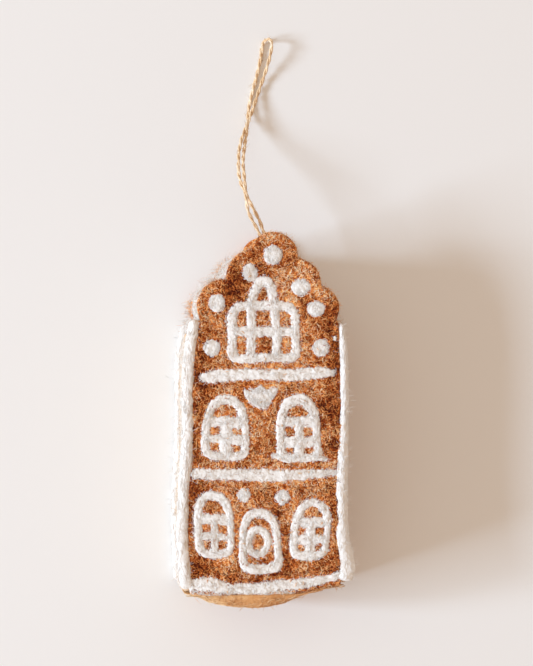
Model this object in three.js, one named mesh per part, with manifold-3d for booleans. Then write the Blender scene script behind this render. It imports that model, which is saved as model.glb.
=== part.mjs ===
// A hanging ornament in the shape of a narrow gabled town house, needle-felted in wool, on a loop of jute.
// Two brown felt panels with a scalloped gable stand either side of a wool-stuffed body with white walls, a
// white roof and a swollen foot. The front is drawn in raised white wool, and white wool covers the corners.
// It lies on its back, as it rests on a table: X runs across the front, Y from the foot up to the gable and
// Z from the back to the front. The origin is the middle of the back. All lengths are in millimetres.
import * as THREE from "three";
import { mergeVertices } from "three/addons/utils/BufferGeometryUtils.js";
import Module from "manifold-3d";

const wasm = await Module();
wasm.setup();

// The body.
const bodyWidth = 52; // outside the side walls, at the shoulders
const bodyFlare = 0.3; // how much further each side stands out at the foot
const bodyDepth = 36; // back face to front face
const shoulderHeight = 74; // where the straight sides start to lean in
const wallHeight = 84; // foot to the eaves, where the walls end and the roof begins
const shoulderTop = 88; // top of the leaning shoulders, under the lowest lobes
const shoulderLean = 2.4; // how far the shoulders lean in
const wallThickness = 3;
const panelThickness = 3.5;
const panelReveal = 1.8; // how far the panels' straight edges stay inside the walls
const panelRim = 1.5; // rounding of the panels' soft edges
const fitGap = 0.3; // clearance between pieces that lie against each other

// The gable: a row of round lobes.
const gableRise = 24.2; // from the eaves to the middle of the peak's lobe
const lobeRadius = 9;
const roofInset = 1.2; // how far the roof lies inside the panels' lobes

// The foot.
const footSwell = 5; // how far the foot pad bulges in its middle
const footRim = 0.8; // thickness of the foot pad at its edge
const footReveal = 1.2; // how far the foot pad stays inside the front and the back

// The raised white wool.
const cornerWidth = 3; // the strands along the four corners
const cornerDepth = 4.2; // the front ones; the back ones are pressed flat under the house
const bandWidth = 3; // the two strands between the floors
const footBandWidth = 3.7; // the strand along the foot
const strandWidth = 2.4; // the window frames and the door
const barWidth = 1.9; // the glazing bars
const drawingHeight = 1.4; // how far the drawing stands above the panel
const drawingRim = 0.5; // rounding of its edges
const dotRadius = 2.7;
const dotHeight = 1.5;

const atticWidth = 21; // the widths and heights here are to the middle of the strand
const atticHeight = 17.4;
const atticCorner = 3;
const dormerWidth = 7;
const dormerHeight = 6;
const upperWindowWidth = 12.6;
const upperWindowHeight = 18.6;
const lowerWindowWidth = 11;
const lowerWindowHeight = 18.6;
const windowCorner = 2;
const doorWidth = 11.7;
const doorHeight = 18;
const doorCorner = 3.5;
const wreathWidth = 6.5;
const wreathHeight = 8;
const wreathStrand = 2.1;
const petalLength = 7;
const petalWidth = 3.1;

// The hanging loop.
const twineDiameter = 1.2;
const twineSpacing = 1.5; // between the middles of the two strands where they leave the roof
const knotRadius = 2.3;
const knotDepth = 16; // from the roof down to the knot's middle

// How finely round shapes are cut. An arc, an oval's outline too, gets two segments for each arc step.
const arcSteps = 5;
const lobeSteps = 16;
const rimSteps = 3;
const drawingRimSteps = 1;
const bandSteps = 10;
const domeSteps = 4;
const roundSides = 16;
const twineSteps = 74;
const twineArcSteps = 4;
const padSteps = [14, 8]; // across and through the foot pad
const cutOverrun = 1;
const leastRadius = 0.05; // of a frame's inner corner, however thick its strand
const mergeDistance = 1e-4;

const felt = (color) => new THREE.MeshStandardMaterial({ color, roughness: 0.95, metalness: 0 });
const gingerFelt = felt(0xb9713f);
const camelFelt = felt(0xc99058);
const whiteWool = felt(0xefebe4);
const stuffingWool = felt(0xe0d6c4);
const jute = felt(0xdcbc8e);

const side = bodyWidth / 2;
const panelSide = side - panelReveal;
const backSeam = panelThickness;
const frontSeam = bodyDepth - panelThickness;
const drawingTop = bodyDepth + drawingHeight;

// The lobes from the left eaves over the peak to the right, chosen by eye and a little uneven. Each has its
// place across as a share of half the body's width, its rise above the eaves as a share of the peak's, and
// its size as a share of the lobe radius.
const lobeShares = [
  [-0.515, 0.322, 1.02],
  [-0.142, 0.707, 1.08],
  [0.094, 1, 0.92],
  [0.335, 0.614, 1.05],
  [0.635, 0.31, 0.83],
];
const lobes = lobeShares.map(([across, rise, size]) => ({
  x: across * side,
  y: wallHeight + rise * gableRise,
  radius: size * lobeRadius,
}));
const [leftLobe, highLeftLobe, peakLobe, , rightLobe] = lobes;

// The peak stands up from the two panels alone: the roof and the wool under it stay lower.
const roofLobes = lobes.filter((lobe) => lobe !== peakLobe);

// The loop leaves the roof behind the peak, right of the high left lobe's middle by a share of its radius.
const loopShare = 0.505;
const loopX = highLeftLobe.x + loopShare * highLeftLobe.radius;
const loopTop =
  highLeftLobe.y + Math.sqrt((highLeftLobe.radius - roofInset) ** 2 - (loopX - highLeftLobe.x) ** 2);

// The house is built from its foot up, and moved so that the origin is the middle of its back.
const lowest = -fitGap - footRim - footSwell;
const highest = peakLobe.y + peakLobe.radius;
const middle = (lowest + highest) / 2;

// Solids.

function solid(geometry) {
  const bare = geometry.clone();
  bare.deleteAttribute("normal");
  bare.deleteAttribute("uv");
  const merged = mergeVertices(bare, mergeDistance);
  return new wasm.Manifold(
    new wasm.Mesh({
      numProp: 3,
      vertProperties: merged.attributes.position.array,
      triVerts: new Uint32Array(merged.index.array),
    }),
  );
}

function geometryOf(body) {
  const { vertProperties, triVerts } = body.getMesh();
  const geometry = new THREE.BufferGeometry();
  geometry.setAttribute("position", new THREE.BufferAttribute(vertProperties, 3));
  geometry.setIndex(new THREE.BufferAttribute(triVerts, 1));
  geometry.computeVertexNormals();
  return geometry;
}

const united = (geometries) => geometries.map(solid).reduce((whole, next) => whole.add(next));

// A flat shape given thickness from back to front, its edges rounded by rim.
function prism(shape, back, front, rim = 0, steps = arcSteps, bevelSegments = rimSteps) {
  const geometry = new THREE.ExtrudeGeometry(shape, {
    depth: front - back - 2 * rim,
    curveSegments: steps,
    bevelEnabled: rim > 0,
    bevelThickness: rim,
    bevelSize: rim,
    bevelOffset: -rim,
    bevelSegments,
  });
  return geometry.translate(0, 0, back + rim);
}

function block(left, right, low, high, back, front) {
  const geometry = new THREE.BoxGeometry(right - left, high - low, front - back);
  return geometry.translate((left + right) / 2, (low + high) / 2, (back + front) / 2);
}

function ovalShape(x, y, halfWidth, halfHeight, turn = 0) {
  const shape = new THREE.Shape();
  shape.absellipse(x, y, halfWidth, halfHeight, 0, 2 * Math.PI, false, turn);
  return shape;
}

// The house.

// The front view below the gable, with its straight sides at edge.
function bodyShape(edge, foot, top) {
  const shape = new THREE.Shape();
  shape.moveTo(-edge - bodyFlare, foot);
  shape.lineTo(edge + bodyFlare, foot);
  shape.lineTo(edge, shoulderHeight);
  shape.lineTo(edge - shoulderLean, top);
  shape.lineTo(shoulderLean - edge, top);
  shape.lineTo(-edge, shoulderHeight);
  shape.closePath();
  return shape;
}

// What fills the gable between the middles of its lobes, lowered by drop.
function gableShape(gable, drop) {
  const shape = new THREE.Shape();
  shape.moveTo(leftLobe.x, shoulderHeight);
  shape.lineTo(rightLobe.x, shoulderHeight);
  for (const { x, y } of [...gable].reverse()) shape.lineTo(x, y - drop);
  shape.closePath();
  return shape;
}

// The whole front view given thickness: straight sides at edge, shoulders up to top, and every lobe of the
// gable smaller by inset.
function houseSolid({ gable, edge, inset, foot, top, back, front, drop = 0, rim = 0 }) {
  return united([
    prism(bodyShape(edge, foot, top), back, front, rim),
    prism(gableShape(gable, drop), back, front),
    ...gable.map(({ x, y, radius }) =>
      prism(ovalShape(x, y, radius - inset, radius - inset), back, front, rim, lobeSteps),
    ),
  ]);
}

function panel(back, front) {
  const outline = { gable: lobes, edge: panelSide, inset: 0, foot: 0, top: shoulderTop };
  return geometryOf(houseSolid({ ...outline, back, front, rim: panelRim }));
}

// The wool that fills the body, or the same shape grown by growth and a little longer at the foot.
function coreSolid(growth, back, front) {
  const gap = wallThickness + fitGap - growth;
  return houseSolid({
    gable: roofLobes,
    edge: side - gap,
    inset: roofInset + gap,
    foot: fitGap - 2 * growth,
    top: shoulderTop - gap,
    drop: fitGap - growth,
    back,
    front,
  });
}

// The walls and the roof as one sheet bent round the stuffing, open at the foot.
function bodySheet() {
  const [back, front] = [backSeam + fitGap, frontSeam - fitGap];
  const outline = { gable: roofLobes, edge: side, inset: roofInset, foot: 0, top: shoulderTop };
  const outside = houseSolid({ ...outline, back, front });
  return outside.subtract(coreSolid(fitGap, back - cutOverrun, front + cutOverrun));
}

function cutTo(body, left, right, low, high) {
  return body.intersect(solid(block(left, right, low, high, -bodyDepth, 2 * bodyDepth)));
}

function wall(left, right) {
  return geometryOf(cutTo(bodySheet(), left, right, -cutOverrun, wallHeight));
}

// A round bore for the loop's two strands, down through the roof to the middle of the knot.
function loopBore() {
  const radius = (twineSpacing + twineDiameter) / 2 + fitGap;
  const length = knotDepth + highLeftLobe.radius;
  const bore = new THREE.CylinderGeometry(radius, radius, length, roundSides);
  return solid(bore.translate(loopX, loopTop - knotDepth + length / 2, bodyDepth / 2));
}

function knotBall(clearance) {
  const ball = new THREE.SphereGeometry(knotRadius + clearance, roundSides, roundSides / 2);
  return solid(ball.translate(loopX, loopTop - knotDepth, bodyDepth / 2));
}

function roof() {
  const cap = cutTo(bodySheet(), -bodyWidth, bodyWidth, wallHeight + fitGap, 2 * wallHeight);
  return geometryOf(cap.subtract(loopBore()));
}

function stuffing() {
  const core = coreSolid(0, backSeam + fitGap, frontSeam - fitGap);
  return geometryOf(core.subtract(loopBore()).subtract(knotBall(fitGap)));
}

// The foot pad, a slab whose underside swells by footSwell times (1 - u squared) times (1 - v to the
// fourth), with u from -1 to 1 across it and v from -1 to 1 through it.
function footPad() {
  const halfWidth = side + bodyFlare - fitGap;
  const halfDepth = bodyDepth / 2 - footReveal;
  const [across, through] = padSteps;
  const pad = new THREE.BoxGeometry(2 * halfWidth, footRim, 2 * halfDepth, across, 1, through);
  const place = pad.attributes.position;
  for (let index = 0; index < place.count; index++) {
    if (place.getY(index) > 0) continue;
    const u = place.getX(index) / halfWidth;
    const v = place.getZ(index) / halfDepth;
    place.setY(index, place.getY(index) - footSwell * (1 - u ** 2) * (1 - v ** 4));
  }
  return pad.translate(0, -fitGap - footRim / 2, bodyDepth / 2);
}

// The white wool on the corners.

// A strand beside a panel's edge from the foot up over the shoulder, clear of the lowest lobe above it. Its
// section is an oval from back to front. hand is -1 on the left and 1 on the right.
function cornerStrand(hand, back, front) {
  const beside = panelSide + fitGap + cornerWidth / 2;
  const points = [
    [beside + bodyFlare, 0],
    [beside + bodyFlare / 2, shoulderHeight / 2],
    [beside, shoulderHeight],
    [beside - shoulderLean / 2, (shoulderHeight + shoulderTop) / 2],
    [beside - shoulderLean, shoulderTop],
  ].map(([x, y]) => new THREE.Vector3(hand * x, y, (back + front) / 2));
  const section = ovalShape(0, 0, (front - back) / 2, cornerWidth / 2);
  const strand = new THREE.ExtrudeGeometry(section, {
    extrudePath: new THREE.CatmullRomCurve3(points),
    steps: bandSteps,
    curveSegments: arcSteps,
  });
  const above = lobes.map(({ x, y, radius }) =>
    prism(ovalShape(x, y, radius + fitGap, radius + fitGap), -cutOverrun, drawingTop, 0, lobeSteps),
  );
  return geometryOf(solid(strand).subtract(united(above)));
}

// The drawing on the front, in raised white wool.

const raised = (shape) => prism(shape, bodyDepth, drawingTop, drawingRim, arcSteps, drawingRimSteps);

// An opening that is round below by corner, and ends above in half an ellipse, or round by head if given.
function openingShape({ x, sill, width, height, corner, head }) {
  const [left, right, top] = [x - width / 2, x + width / 2, sill + height];
  const radius = Math.max(corner, leastRadius);
  const shape = new THREE.Shape();
  shape.absarc(left + radius, sill + radius, radius, Math.PI, 1.5 * Math.PI, false);
  shape.absarc(right - radius, sill + radius, radius, 1.5 * Math.PI, 2 * Math.PI, false);
  if (head) {
    shape.absarc(right - head, top - head, head, 0, Math.PI / 2, false);
    shape.absarc(left + head, top - head, head, Math.PI / 2, Math.PI, false);
  } else {
    const rise = Math.min(width, height) / 2;
    shape.absellipse(x, top - rise, width / 2, rise, 0, Math.PI, false);
  }
  shape.closePath();
  return shape;
}

// The same opening grown by growth on every side.
function grown({ x, sill, width, height, corner, head }, growth) {
  return openingShape({
    x,
    sill: sill - growth,
    width: width + 2 * growth,
    height: height + 2 * growth,
    corner: corner + growth,
    head: head && head + growth,
  });
}

// A frame: one strand whose middle follows the opening.
function frameShape(opening, width) {
  const shape = grown(opening, width / 2);
  shape.holes.push(grown(opening, -width / 2));
  return shape;
}

// Glazing bars, each [x, y, length, upright], cut off at inset inside the opening.
function bars(opening, places, inset) {
  const crossed = united(
    places.map(([x, y, length, upright]) => {
      const [halfWidth, halfHeight] = upright ? [barWidth / 2, length / 2] : [length / 2, barWidth / 2];
      const corners = [[-1, -1], [1, -1], [1, 1], [-1, 1]];
      return raised(
        new THREE.Shape(corners.map(([a, b]) => new THREE.Vector2(x + a * halfWidth, y + b * halfHeight))),
      );
    }),
  );
  const inside = grown(opening, -inset);
  return crossed.intersect(solid(prism(inside, bodyDepth - cutOverrun, drawingTop + cutOverrun)));
}

// The round-headed windows. Each has its middle across as a share of half the panel's width, its sill as a
// share of the walls' height, and the heights of its two cross bars as shares of its own.
const windowShares = {
  upper_left: { acrossShare: -0.545, sillShare: 0.527, crossShares: [0.31, 0.64] },
  upper_right: { acrossShare: 0.442, sillShare: 0.527, crossShares: [0.32, 0.655] },
  lower_left: { acrossShare: -0.702, sillShare: 0.155, crossShares: [0.34, 0.605] },
  lower_right: { acrossShare: 0.597, sillShare: 0.137, crossShares: [0.34, 0.645] },
};
const windowSizes = {
  upper: { width: upperWindowWidth, height: upperWindowHeight },
  lower: { width: lowerWindowWidth, height: lowerWindowHeight },
};

function windowPieces(name) {
  const { acrossShare, sillShare, crossShares } = windowShares[name];
  const { width, height } = windowSizes[name.split("_")[0]];
  const [x, sill] = [acrossShare * panelSide, sillShare * wallHeight];
  const opening = { x, sill, width, height, corner: windowCorner };
  const places = crossShares.map((share) => [x, sill + share * height, width, false]);
  const upright = crossShares[1] * height;
  places.push([x, sill + upright / 2, upright, true]);
  return [
    [`${name}_window_frame`, raised(frameShape(opening, strandWidth)), whiteWool],
    [`${name}_window_bars`, geometryOf(bars(opening, places, strandWidth / 2 + fitGap)), whiteWool],
  ];
}

// The attic window, whose bars run into its frame, with a little arched dormer standing on its head.
const atticShares = {
  acrossShare: -0.023,
  sillShare: 0.906,
  crossShare: 0.5,
  uprightShares: [-0.2, 0.19],
  dormerShare: -0.05,
};

function atticWindow() {
  const opening = {
    x: atticShares.acrossShare * panelSide,
    sill: atticShares.sillShare * wallHeight,
    width: atticWidth,
    height: atticHeight,
    corner: windowCorner,
    head: atticCorner,
  };
  const halfway = opening.sill + atticShares.crossShare * atticHeight;
  const places = [[opening.x, halfway, atticWidth, false]];
  for (const share of atticShares.uprightShares) {
    places.push([opening.x + share * atticWidth, opening.sill + atticHeight / 2, atticHeight, true]);
  }
  return geometryOf(solid(raised(frameShape(opening, strandWidth))).add(bars(opening, places, 0)));
}

function atticDormer() {
  const sill = atticShares.sillShare * wallHeight + atticHeight + strandWidth / 2 + fitGap;
  const opening = {
    x: atticShares.dormerShare * panelSide,
    sill,
    width: dormerWidth,
    height: dormerHeight,
    corner: windowCorner,
  };
  const arch = solid(raised(frameShape(opening, strandWidth)));
  return geometryOf(cutTo(arch, -side, side, sill, 2 * sill));
}

// The door, with a round wreath on it.
const doorShares = { acrossShare: -0.085, sillShare: 0.099, wreathShare: 0.475 };

function doorPieces() {
  const opening = {
    x: doorShares.acrossShare * panelSide,
    sill: doorShares.sillShare * wallHeight,
    width: doorWidth,
    height: doorHeight,
    corner: doorCorner,
  };
  const height = opening.sill + doorShares.wreathShare * doorHeight;
  const ring = (growth) =>
    ovalShape(opening.x, height, wreathWidth / 2 + growth, wreathHeight / 2 + growth);
  const wreath = ring(wreathStrand / 2);
  wreath.holes.push(ring(-wreathStrand / 2));
  return [
    ["door_frame", raised(frameShape(opening, strandWidth)), whiteWool],
    ["door_wreath", raised(wreath), whiteWool],
  ];
}

// The strands across the front. Each runs between two shares of half the panel's width, over heights in
// shares of the walls' height.
const bandShares = {
  upper_floor_band: { endShares: [-0.88, 0.93], heightShares: [0.826, 0.842, 0.856, 0.85, 0.861] },
  lower_floor_band: { endShares: [-0.99, 0.99], heightShares: [0.476, 0.472, 0.468, 0.464, 0.461] },
  foot_band: { endShares: [-0.99, 0.99], heightShares: [0.036, 0.026, 0.024, 0.032, 0.05] },
};

function band(name, width) {
  const { endShares, heightShares } = bandShares[name];
  const [left, right] = endShares;
  const middles = heightShares.map((share, index) => {
    const acrossShare = left + ((right - left) * index) / (heightShares.length - 1);
    return new THREE.Vector2(acrossShare * panelSide, share * wallHeight);
  });
  const points = new THREE.SplineCurve(middles).getPoints(bandSteps);
  const lower = points.map(({ x, y }) => new THREE.Vector2(x, y - width / 2));
  const upper = points.map(({ x, y }) => new THREE.Vector2(x, y + width / 2));
  return [name, raised(new THREE.Shape([...lower, ...upper.reverse()])), whiteWool];
}

// The tulip between the upper windows: three petals that fan out from one foot, by turns in radians.
const tulipShares = { acrossShare: -0.03, footShare: 0.713 };
const petalTurns = [0.68, 0.02, -0.62];

function tulip() {
  const x = tulipShares.acrossShare * panelSide;
  const y = tulipShares.footShare * wallHeight;
  const petals = petalTurns.map((turn) => {
    const reach = petalLength / 2;
    return raised(
      ovalShape(x - Math.sin(turn) * reach, y + Math.cos(turn) * reach, petalWidth / 2, reach, turn),
    );
  });
  return geometryOf(united(petals));
}

// The dots. Each has its place across as a share of half the panel's width, its height as a share of the
// walls', and its own width and height as shares of the dot radius.
const dotShares = {
  peak_dot: [0.085, 1.303, 1.1, 1.1],
  high_left_dot: [-0.222, 1.233, 0.88, 1],
  high_right_dot: [0.463, 1.18, 1.15, 0.96],
  left_dot: [-0.655, 1.12, 0.96, 1],
  right_dot: [0.665, 1.094, 1.1, 0.86],
  low_left_dot: [-0.723, 0.943, 0.96, 0.96],
  low_right_dot: [0.727, 0.943, 1, 1],
  door_left_dot: [-0.295, 0.384, 0.72, 0.92],
  door_right_dot: [0.22, 0.369, 0.88, 0.88],
};

function dot([across, height, wide, high]) {
  const profile = [new THREE.Vector2(0, 0)];
  for (let step = 0; step < domeSteps; step++) {
    const angle = (Math.PI / 2) * (step / domeSteps);
    profile.push(new THREE.Vector2(dotRadius * Math.cos(angle), dotHeight * Math.sin(angle)));
  }
  profile.push(new THREE.Vector2(0, dotHeight));
  const dome = new THREE.LatheGeometry(profile, roundSides).rotateX(Math.PI / 2);
  return dome.scale(wide, high, 1).translate(across * panelSide, height * wallHeight, bodyDepth);
}

// The hanging loop.

// The two ends of the loop inside the roof, down to the knot that holds them in the stuffing.
function loopKnot() {
  const length = knotDepth - 2 * fitGap;
  const ends = [-1, 1].map((hand) => {
    const end = new THREE.CylinderGeometry(twineDiameter / 2, twineDiameter / 2, length, 2 * twineArcSteps);
    return end.translate(loopX + (hand * twineSpacing) / 2, loopTop - knotDepth + length / 2, bodyDepth / 2);
  });
  return geometryOf(united(ends).add(knotBall(0)));
}

// The free loop: out of the roof between the two panels' peaks, down to the table, along it to the fold and
// back, with one strand passing over the other twice. These are places in the finished part's frame.
const loopRoute = [
  [0.46, 53.2, 18],
  [0.46, 56, 18],
  [0.4, 59, 18],
  [-0.6, 62.1, 18.3],
  [-2.2, 65, 18.6],
  [-3.9, 68.3, 18.8],
  [-4.7, 71.5, 18.7],
  [-5, 74.8, 18.1],
  [-5.2, 78.1, 17],
  [-5.3, 81.5, 15.2],
  [-5.4, 85.3, 12.6],
  [-4.8, 89.7, 9.2],
  [-3.6, 96, 4.6],
  [-2.8, 101.3, 1.9],
  [-2.1, 106.5, 0.9],
  [-0.9, 111.5, 0.7],
  [0.6, 117, 0.7],
  [1.7, 122.2, 0.7],
  [2.3, 126.2, 0.7],
  [3.1, 127.8, 1.3],
  [4.2, 128.2, 2.7],
  [5, 127.3, 4.1],
  [5, 125.6, 4.6],
  [4.5, 122.2, 4.1],
  [3.5, 118.4, 2.8],
  [2.3, 114.6, 1.7],
  [0.9, 110.6, 1.3],
  [-0.5, 106.5, 2],
  [-2, 102.4, 3.2],
  [-3.7, 98.2, 4.9],
  [-5.4, 93.9, 6.8],
  [-6.5, 89.5, 9.6],
  [-6.9, 85.2, 12.3],
  [-6.9, 81.4, 14.3],
  [-6.1, 78, 15.5],
  [-4.6, 74.7, 16.1],
  [-3.1, 71.6, 16.6],
  [-1.6, 68.6, 17.1],
  [-0.1, 65.4, 17.7],
  [1, 62.2, 18],
  [1.9, 59.1, 18],
  [1.96, 56, 18],
  [1.96, 53.2, 18],
];

function hangingLoop() {
  const section = ovalShape(0, 0, twineDiameter / 2, twineDiameter / 2);
  const route = new THREE.CatmullRomCurve3(loopRoute.map((point) => new THREE.Vector3(...point)));
  return new THREE.ExtrudeGeometry(section, {
    extrudePath: route,
    steps: twineSteps,
    curveSegments: twineArcSteps,
  });
}

const housePieces = [
  ["stuffing", stuffing(), stuffingWool],
  ["back_panel", panel(0, backSeam), gingerFelt],
  ["front_panel", panel(frontSeam, bodyDepth), gingerFelt],
  ["left_wall", wall(-bodyWidth, -side / 2), whiteWool],
  ["right_wall", wall(side / 2, bodyWidth), whiteWool],
  ["roof", roof(), whiteWool],
  ["foot_pad", footPad(), camelFelt],
  ["front_left_corner", cornerStrand(-1, frontSeam, frontSeam + cornerDepth), whiteWool],
  ["front_right_corner", cornerStrand(1, frontSeam, frontSeam + cornerDepth), whiteWool],
  ["back_left_corner", cornerStrand(-1, 0, backSeam), whiteWool],
  ["back_right_corner", cornerStrand(1, 0, backSeam), whiteWool],
  band("upper_floor_band", bandWidth),
  band("lower_floor_band", bandWidth),
  band("foot_band", footBandWidth),
  ["attic_window", atticWindow(), whiteWool],
  ["attic_dormer", atticDormer(), whiteWool],
  ...Object.keys(windowShares).flatMap(windowPieces),
  ...doorPieces(),
  ["tulip", tulip(), whiteWool],
  ...Object.entries(dotShares).map(([name, shares]) => [name, dot(shares), whiteWool]),
  ["loop_knot", loopKnot(), jute],
];

function mesh(name, geometry, material) {
  const piece = new THREE.Mesh(geometry, material);
  piece.name = name;
  return piece;
}

const house = new THREE.Group();
house.position.y = -middle;
for (const piece of housePieces) house.add(mesh(...piece));

const ornament = new THREE.Group();
ornament.add(house, mesh("hanging_loop", hangingLoop(), jute));

export default ornament;
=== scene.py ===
"""Needle-felted gabled town house with a jute hanging loop, lying on its back on a pale table.

The shapes are worked out in the house's own millimetres: x across the front, y up from the foot, z out of
the back. settled() bends them a little, as soft wool is, and turns them into the model's metres.
"""

import bpy
import numpy as np
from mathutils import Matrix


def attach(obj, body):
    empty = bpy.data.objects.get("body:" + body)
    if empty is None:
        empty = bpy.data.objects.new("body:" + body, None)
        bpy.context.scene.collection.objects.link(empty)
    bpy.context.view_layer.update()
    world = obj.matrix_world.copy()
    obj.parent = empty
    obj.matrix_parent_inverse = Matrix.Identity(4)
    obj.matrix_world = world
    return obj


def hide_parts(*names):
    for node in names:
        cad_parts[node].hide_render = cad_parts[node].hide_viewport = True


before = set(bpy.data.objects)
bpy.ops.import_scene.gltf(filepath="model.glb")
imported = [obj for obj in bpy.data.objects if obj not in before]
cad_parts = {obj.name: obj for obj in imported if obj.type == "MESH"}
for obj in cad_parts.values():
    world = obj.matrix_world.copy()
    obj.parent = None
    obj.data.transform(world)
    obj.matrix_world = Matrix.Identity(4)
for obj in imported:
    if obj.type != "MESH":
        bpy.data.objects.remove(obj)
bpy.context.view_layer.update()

# The house, as in the part's source.
MIDDLE = 55.19  # height over the foot of the model's own origin
SIDE = 26.0  # outside the side walls, at the shoulders
FLARE = 0.3  # how much further out the sides are at the foot
PANEL_SIDE = 24.6  # of the two panels, with their fuzz
SHOULDER = 74.0  # up from the foot, where the sides begin to lean in
SHOULDER_TOP = 88.0
LEAN_LEFT, LEAN_RIGHT = 2.4, 0.9  # inwards, from the shoulders up
EAVES = 84.0  # where the side walls end and the roof begins
DEPTH = 36.0
PANEL = 3.5  # thickness of the front and the back
WALL = 3.0  # thickness of the side walls and the roof
GAP = 0.3  # between neighbouring pieces
RIM = 0.8  # radius of a panel's outer edge
ROOF_INSET = 0.3  # how much smaller than their circles the roof's lobes are
HUB = np.array([0.0, 50.0])  # every point of the outline is seen from here
# The lobes of the gable: across, up and radius. The roof has none under the peak, is lower and leans left.
LOBES = np.array([
    (-13.4, 91.8, 9.2), (-3.7, 101.1, 9.7), (2.45, 108.2, 8.3), (8.7, 98.85, 9.45), (16.5, 91.5, 7.5),
])
ROOF_LOBES = LOBES[[0, 1, 3, 4]] + [(0.7, 0.9, 0), (-0.8, -1.2, 0), (-0.4, -0.9, 0), (-0.3, -0.4, 0)]
# The soft bends of the whole house: how far sideways, at which height, and how fast each fades from there.
BENDS = [(0.3, 55, 12), (-0.95, 24, 18)]
CORNER_PULL = 2.6  # how far the front's lower right corner is pulled up
TURN = 2 * np.pi
QUARTER = np.pi / 2 * np.arange(1, 5) / 4  # four steps round a quarter turn

# Helpers for arrays.


def scrambled(key):
    """A random height from -1 to 1 for each whole number, whose bits are shifted over each other and
    multiplied by large odd numbers."""
    key = key & 0xFFFFFFFF
    for shift, factor in ((15, 2246822519), (13, 3266489917)):
        key = (key ^ (key >> shift)) * factor & 0xFFFFFFFF
    return (key ^ (key >> 16)) / 2.0**31 - 1


def cloudy(points, cell, seed):
    """Smooth noise from -1 to 1: every corner of a lattice has a random height, and the eight round a
    point are blended with the fade 6t^5 - 15t^4 + 10t^3 along each axis."""
    place = np.asarray(points, float) / cell
    low = np.floor(place).astype(np.int64)
    t = place - low
    fade = t**3 * (t * (6 * t - 15) + 10)
    total = np.zeros(len(place))
    for corner in np.ndindex(2, 2, 2):
        key = (low + np.array(corner)) @ np.array([73856093, 19349663, 83492791]) + seed * 974711
        total += np.prod(np.where(corner, fade, 1 - fade), axis=1) * scrambled(key)
    return total


def flat_noise(x, y, cell, seed):
    """The same noise over a plane; cell may be one length for each axis."""
    cells = np.broadcast_to(cell, 2)
    points = np.stack([np.ravel(x) / cells[0], np.ravel(y) / cells[1], np.full(np.size(x), 0.37)], axis=1)
    return cloudy(points, 1.0, seed).reshape(np.shape(x))


def layered(x, y, *layers):
    """Flat noise of several sizes added up, each layer a strength, a cell and a seed."""
    return sum(strength * flat_noise(x, y, cell, seed) for strength, cell, seed in layers)


def toned(points, level, spread, cell, seed):
    """A tone for each point: a level plus spread times noise, and half of that at a third of its size."""
    return level + spread * cloudy(points, cell, seed) + 0.5 * spread * cloudy(points, cell / 3, seed + 1)


def eased(t):
    """0 below 0, 1 above 1, and 3t^2 - 2t^3 between."""
    t = np.clip(t, 0, 1)
    return t * t * (3 - 2 * t)


def unit(vectors):
    """The vectors at length one."""
    return vectors / np.maximum(np.linalg.norm(vectors, axis=-1, keepdims=True), 1e-12)


def circle(angle):
    """The directions of angles in a plane, as cosine and sine."""
    return np.stack([np.cos(angle), np.sin(angle)], axis=-1)


def leftwards(way):
    """The directions of a plane a quarter turn to the left of way."""
    return np.stack([-way[..., 1], way[..., 0]], axis=-1)


def run_along(line):
    """How far along a line each of its points lies."""
    return np.r_[0, np.cumsum(np.linalg.norm(np.diff(line, axis=0), axis=1))]


def settled(points):
    """House millimetres to the model's metres, after the soft bends, each of which fades up and down as a
    bell curve. The front's lower right corner is pulled up too, which fades out by 26 mm up, by x = 8 and
    towards the back."""
    points = np.array(points, float)
    x, y, z = points[..., 0], points[..., 1], points[..., 2]
    lift = CORNER_PULL * eased((x - 8) / 18) * np.clip(1 - y / 26, 0, 1) ** 1.5 * eased(z / DEPTH)
    sway = sum(by * np.exp(-(((y - up) / over) ** 2)) for by, up, over in BENDS)
    return np.stack([x + sway, y + lift - MIDDLE, z], axis=-1) / 1000


def smooth_path(points, step, closed=False, space=2):
    """A Catmull-Rom curve through the rows of points, all columns alike, taken again at even steps of the
    length of its first columns, as many as space says."""
    p = np.asarray(points, float)
    q = np.vstack([p[-1], p, p[0], p[1]]) if closed else np.vstack([2 * p[0] - p[1], p, 2 * p[-1] - p[-2]])
    t = np.linspace(0, 1, 24, endpoint=False)[:, None]
    a, b, c, d = (q[k : len(q) - 3 + k, None, :] for k in range(4))
    square, cube = 2 * a - 5 * b + 4 * c - d, 3 * b - a - 3 * c + d
    dense = 0.5 * (2 * b + (c - a) * t + square * t**2 + cube * t**3)
    dense = np.vstack([dense.reshape(-1, p.shape[1]), q[-2]])
    run = run_along(dense[:, :space])
    count = max(int(round(run[-1] / step)), 4)
    at = np.linspace(0, run[-1], count + 1)[: count if closed else count + 1]
    return np.stack([np.interp(at, run, dense[:, k]) for k in range(p.shape[1])], axis=1)


# Meshes.


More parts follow.
